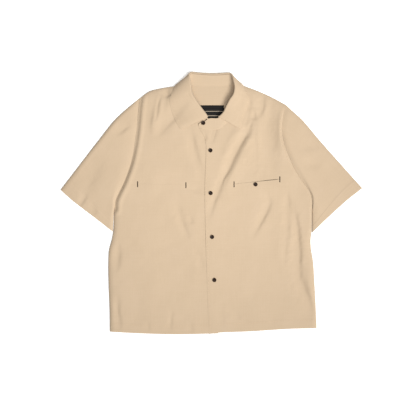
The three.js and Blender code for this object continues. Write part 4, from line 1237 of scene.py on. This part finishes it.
def sewn(name, lines, pitch, length, thickness, turn, thread):
    """One piece with all the threads laid along some lines of places in mm."""
    vertices = np.vstack(lines)
    starts = np.cumsum([0] + [len(line) for line in lines])
    mesh = bpy.data.meshes.new(name)
    mesh.from_pydata(((vertices + SHIFT) * MM).tolist(),
                     [(k, k + 1) for a, b in zip(starts, starts[1:]) for k in range(a, b - 1)], [])
    piece = bpy.data.objects.new(name, mesh)
    bpy.context.scene.collection.objects.link(piece)
    laid = piece.modifiers.new("laid", "NODES")
    laid.node_group = laid_stitches
    inputs = {item.name: item.identifier for item in laid_stitches.interface.items_tree
              if item.item_type == "SOCKET" and item.in_out == "INPUT"}
    for key, value in (("Pitch", pitch * MM), ("Length", length * MM), ("Thickness", thickness * MM),
                       ("Turn", turn), ("Thread", thread)):
        laid[inputs[key]] = value
    made = bpy.data.meshes.new_from_object(piece.evaluated_get(bpy.context.evaluated_depsgraph_get()))
    piece.modifiers.clear()
    piece.data = made
    print(name, len(made.polygons), "faces")
    return piece


# %% Seam lines
STITCH = {"pitch": 2.9, "length": 2.3, "thickness": 0.34}
SUNK = 0.05  # how far a stitch's middle lies over the cloth
HEM_STITCH_INSET = HEM_DEPTH - 1.5
ARMHOLE_STITCH_INSET, PLACKET_STITCH_INSET, LEAF_STITCH_INSET = 6.5, 5.0, 5.0


def inset(line, distance, inside):
    """A line moved sideways by a distance, towards the side on which the inside place lies."""
    forward = np.gradient(line, axis=0)
    forward /= np.linalg.norm(forward, axis=1)[:, None]
    side = np.c_[-forward[:, 1], forward[:, 0]]
    towards = np.sign(((np.array(inside) - line) * side).sum(axis=1).mean())
    return line + side * towards * distance


def on_front(side, line, extra=0.0):
    return np.c_[line, top_of_front(side, line[:, 0], line[:, 1]) + SUNK + extra]


CHEST = {"right": (-120, 0), "left": (120, 0)}
seam_lines = {"front_right": [], "front_left": []}
for side in ("right", "left"):
    hem_line = inset(smooth_line(HEM[side], 2.0), HEM_STITCH_INSET, (0, 0))[8:-8]
    armhole_line = inset(smooth_line(ARMHOLE[side], 2.0), ARMHOLE_STITCH_INSET, CHEST[side])[4:-4]
    seam_lines[f"front_{side}"] += [on_front(side, hem_line, HEM_WALL / 2), on_front(side, armhole_line)]
placket_line = inset(smooth_line(FRONT_EDGE["left"], 2.0), PLACKET_STITCH_INSET, (60, 0))
seam_lines["front_left"].append(on_front("left", placket_line[6:-12]))


def seam(name, lines):
    return sewn(name, lines, STITCH["pitch"], STITCH["length"], STITCH["thickness"], 0.0, seam_thread)


stitches = {name: seam(f"stitches_{name}", lines) for name, lines in seam_lines.items()}

leaf_normals = grid_normals(leaf_grid)
if leaf_normals[6, -6, 2] < 0:
    leaf_normals = -leaf_normals
column = np.argmin(np.abs(down_leaf - (1 - LEAF_STITCH_INSET / LEAF_DEPTH)))
leaf_row = leaf_grid[3:-3, column] + leaf_normals[3:-3, column] * (COLLAR_WALL / 2 + SUNK)
stitches["collar_leaf"] = seam("stitches_collar_leaf", [leaf_row])

TACK_LENGTH, TACK_PITCH, TACK_THREAD = 16.0, 0.38, 0.5
TACK_LIFT, TACK_SLANT = 0.25, 0.12
tacks = {}
for side, ends in POCKETS.items():
    for k, end in enumerate(("from", "to")):
        x, y = ends[end]
        y = np.linspace(y - 1 - TACK_LENGTH / 2, y - 1 + TACK_LENGTH / 2, 40)
        line = np.c_[np.full(40, x), y, top_of_front(side, np.full(40, x), y) + TACK_LIFT]
        name = f"bar_tack_{side}_{k + 1}"
        tacks[name] = sewn(f"wound_{name}", [line], TACK_PITCH, TACK_WIDTH, TACK_THREAD,
                           math.pi / 2 - TACK_SLANT, tack_thread)

BUTTONHOLE = {"length": 15.0, "width": 2.4, "pitch": 0.42, "thickness": 0.34}
NECK_HOLE_AND_PAINTED_SHADE = [(-29.0, 221.5), (-12.5, 236.5)]  # the stand's buttonhole, worked in the dark brown of the tacks: a real buttonhole that also paints the shade under the leaf's tip


def worked(name, line, thread, width=BUTTONHOLE["width"]):
    return sewn(name, [line], BUTTONHOLE["pitch"], width, BUTTONHOLE["thickness"], math.pi / 2, thread)


buttonholes = {}
half = np.linspace(-BUTTONHOLE["length"] / 2, BUTTONHOLE["length"] / 2, 24)
for k, (x, y) in enumerate([*FRONT_BUTTONS, POCKET_BUTTON]):
    line = np.c_[np.full(24, x), y + half]
    buttonholes[k] = worked(f"buttonhole_left_{k + 1}", on_front("left", line, 0.05), seam_thread)
# This buttonhole is worked wider than the others and in dark brown, so that besides being a buttonhole it
# paints the shade in the gap under the collar leaf's tip, beside the neck button.
line = at_shares(np.array(NECK_HOLE_AND_PAINTED_SHADE), np.linspace(0, 1, 24))
flat_stand = stand_grid.reshape(-1, 3)
above = [flat_stand[np.linalg.norm(flat_stand[:, :2] - place, axis=1) < 3.0, 2].max() for place in line]
buttonholes["neck"] = worked("buttonhole_and_painted_shade_neck", np.c_[line, np.array(above) + COLLAR_WALL / 2 + SUNK],
                             tack_thread, 3.4)

# %% [markdown]
# ## Joining the frame
#
# Nothing on a shirt laid flat turns or slides, so every piece rides on the one body of the frame. For each
# piece of cloth, the flat size it was cut to and its area are printed.

# %% Riding and replacing
for node, piece in (("back_panel", back), ("front_right", fronts["right"]), ("front_left", fronts["left"]),
                    ("sleeve_right", sleeves["right"][0]), ("sleeve_left", sleeves["left"][0]),
                    ("collar_stand", stand), ("collar_leaf", leaf), ("pocket_bag_right", bags["right"]),
                    ("pocket_bag_left", bags["left"])):
    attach(piece, "root")
    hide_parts(node)
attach(label, "root")
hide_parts("neck_label")
for node, (piece, thread) in buttons.items():
    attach(piece, "root")
    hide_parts(node)
    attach(thread, "root")
for piece in stitches.values():
    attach(piece, "root")
for place, piece in buttonholes.items():
    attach(piece, "root")
for node, piece in tacks.items():
    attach(piece, "root")
    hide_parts(node)

# %% Sheets
def surface_area(grid):
    """The area in square metres of a curved grid of points in millimetres."""
    across, along = np.diff(grid, axis=1)[:-1], np.diff(grid, axis=0)[:, :-1]
    return float(np.linalg.norm(np.cross(across, along), axis=2).sum()) * MM * MM


def spans(place):
    """Width and length in metres of the rectangle round a grid of places in millimetres."""
    return [float(np.ptp(place[..., axis])) * MM for axis in (0, 1)]


def unfolded(place):
    """Width, length and area of a sleeve opened out flat: both its layers, mirrored about its top fold."""
    top = place[-1, 0] - place[0, 0]
    top /= np.linalg.norm(top)
    off = place - place[0, 0]
    along, away = off @ top, np.abs(off @ np.array([-top[1], top[0]]))
    return (2 * float(away.max()) * MM, float(np.ptp(along)) * MM), 2 * area_of(place)


def declare(piece, flat, area):
    print(piece.name, "cut", [round(side * 1000) for side in flat], "mm,", round(area * 1e4), "cm2")


on_left = [part for node, pair in buttons.items() if node != "button_neck" for part in pair]
on_left += [piece for place, piece in buttonholes.items() if place != "neck"]
declare(back, spans(back_place), area_of(back_place))
for side in ("right", "left"):
    declare(fronts[side], spans(front_places[side]), area_of(front_places[side]))
    declare(bags[side], spans(bag_places[side]), area_of(bag_places[side]))
    sleeve, place = sleeves[side]
    flat, area = unfolded(place)
    declare(sleeve, flat, area)
stand_height = float(np.linalg.norm(stand_top - stand_seam, axis=1).max()) * MM
declare(stand, (stand_height, line_length(stand_seam) * MM), surface_area(stand_grid))
declare(leaf, (leaf_lengths.max() * MM, max(line_length(leaf_edge), line_length(leaf_top)) * MM),
        surface_area(leaf_grid))
declare(label, spans(label_place), area_of(label_place))

# %% Sizes and finish
low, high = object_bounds()
print("shown:", [round(float(s) * 1000, 1) for s in high - low], "mm")
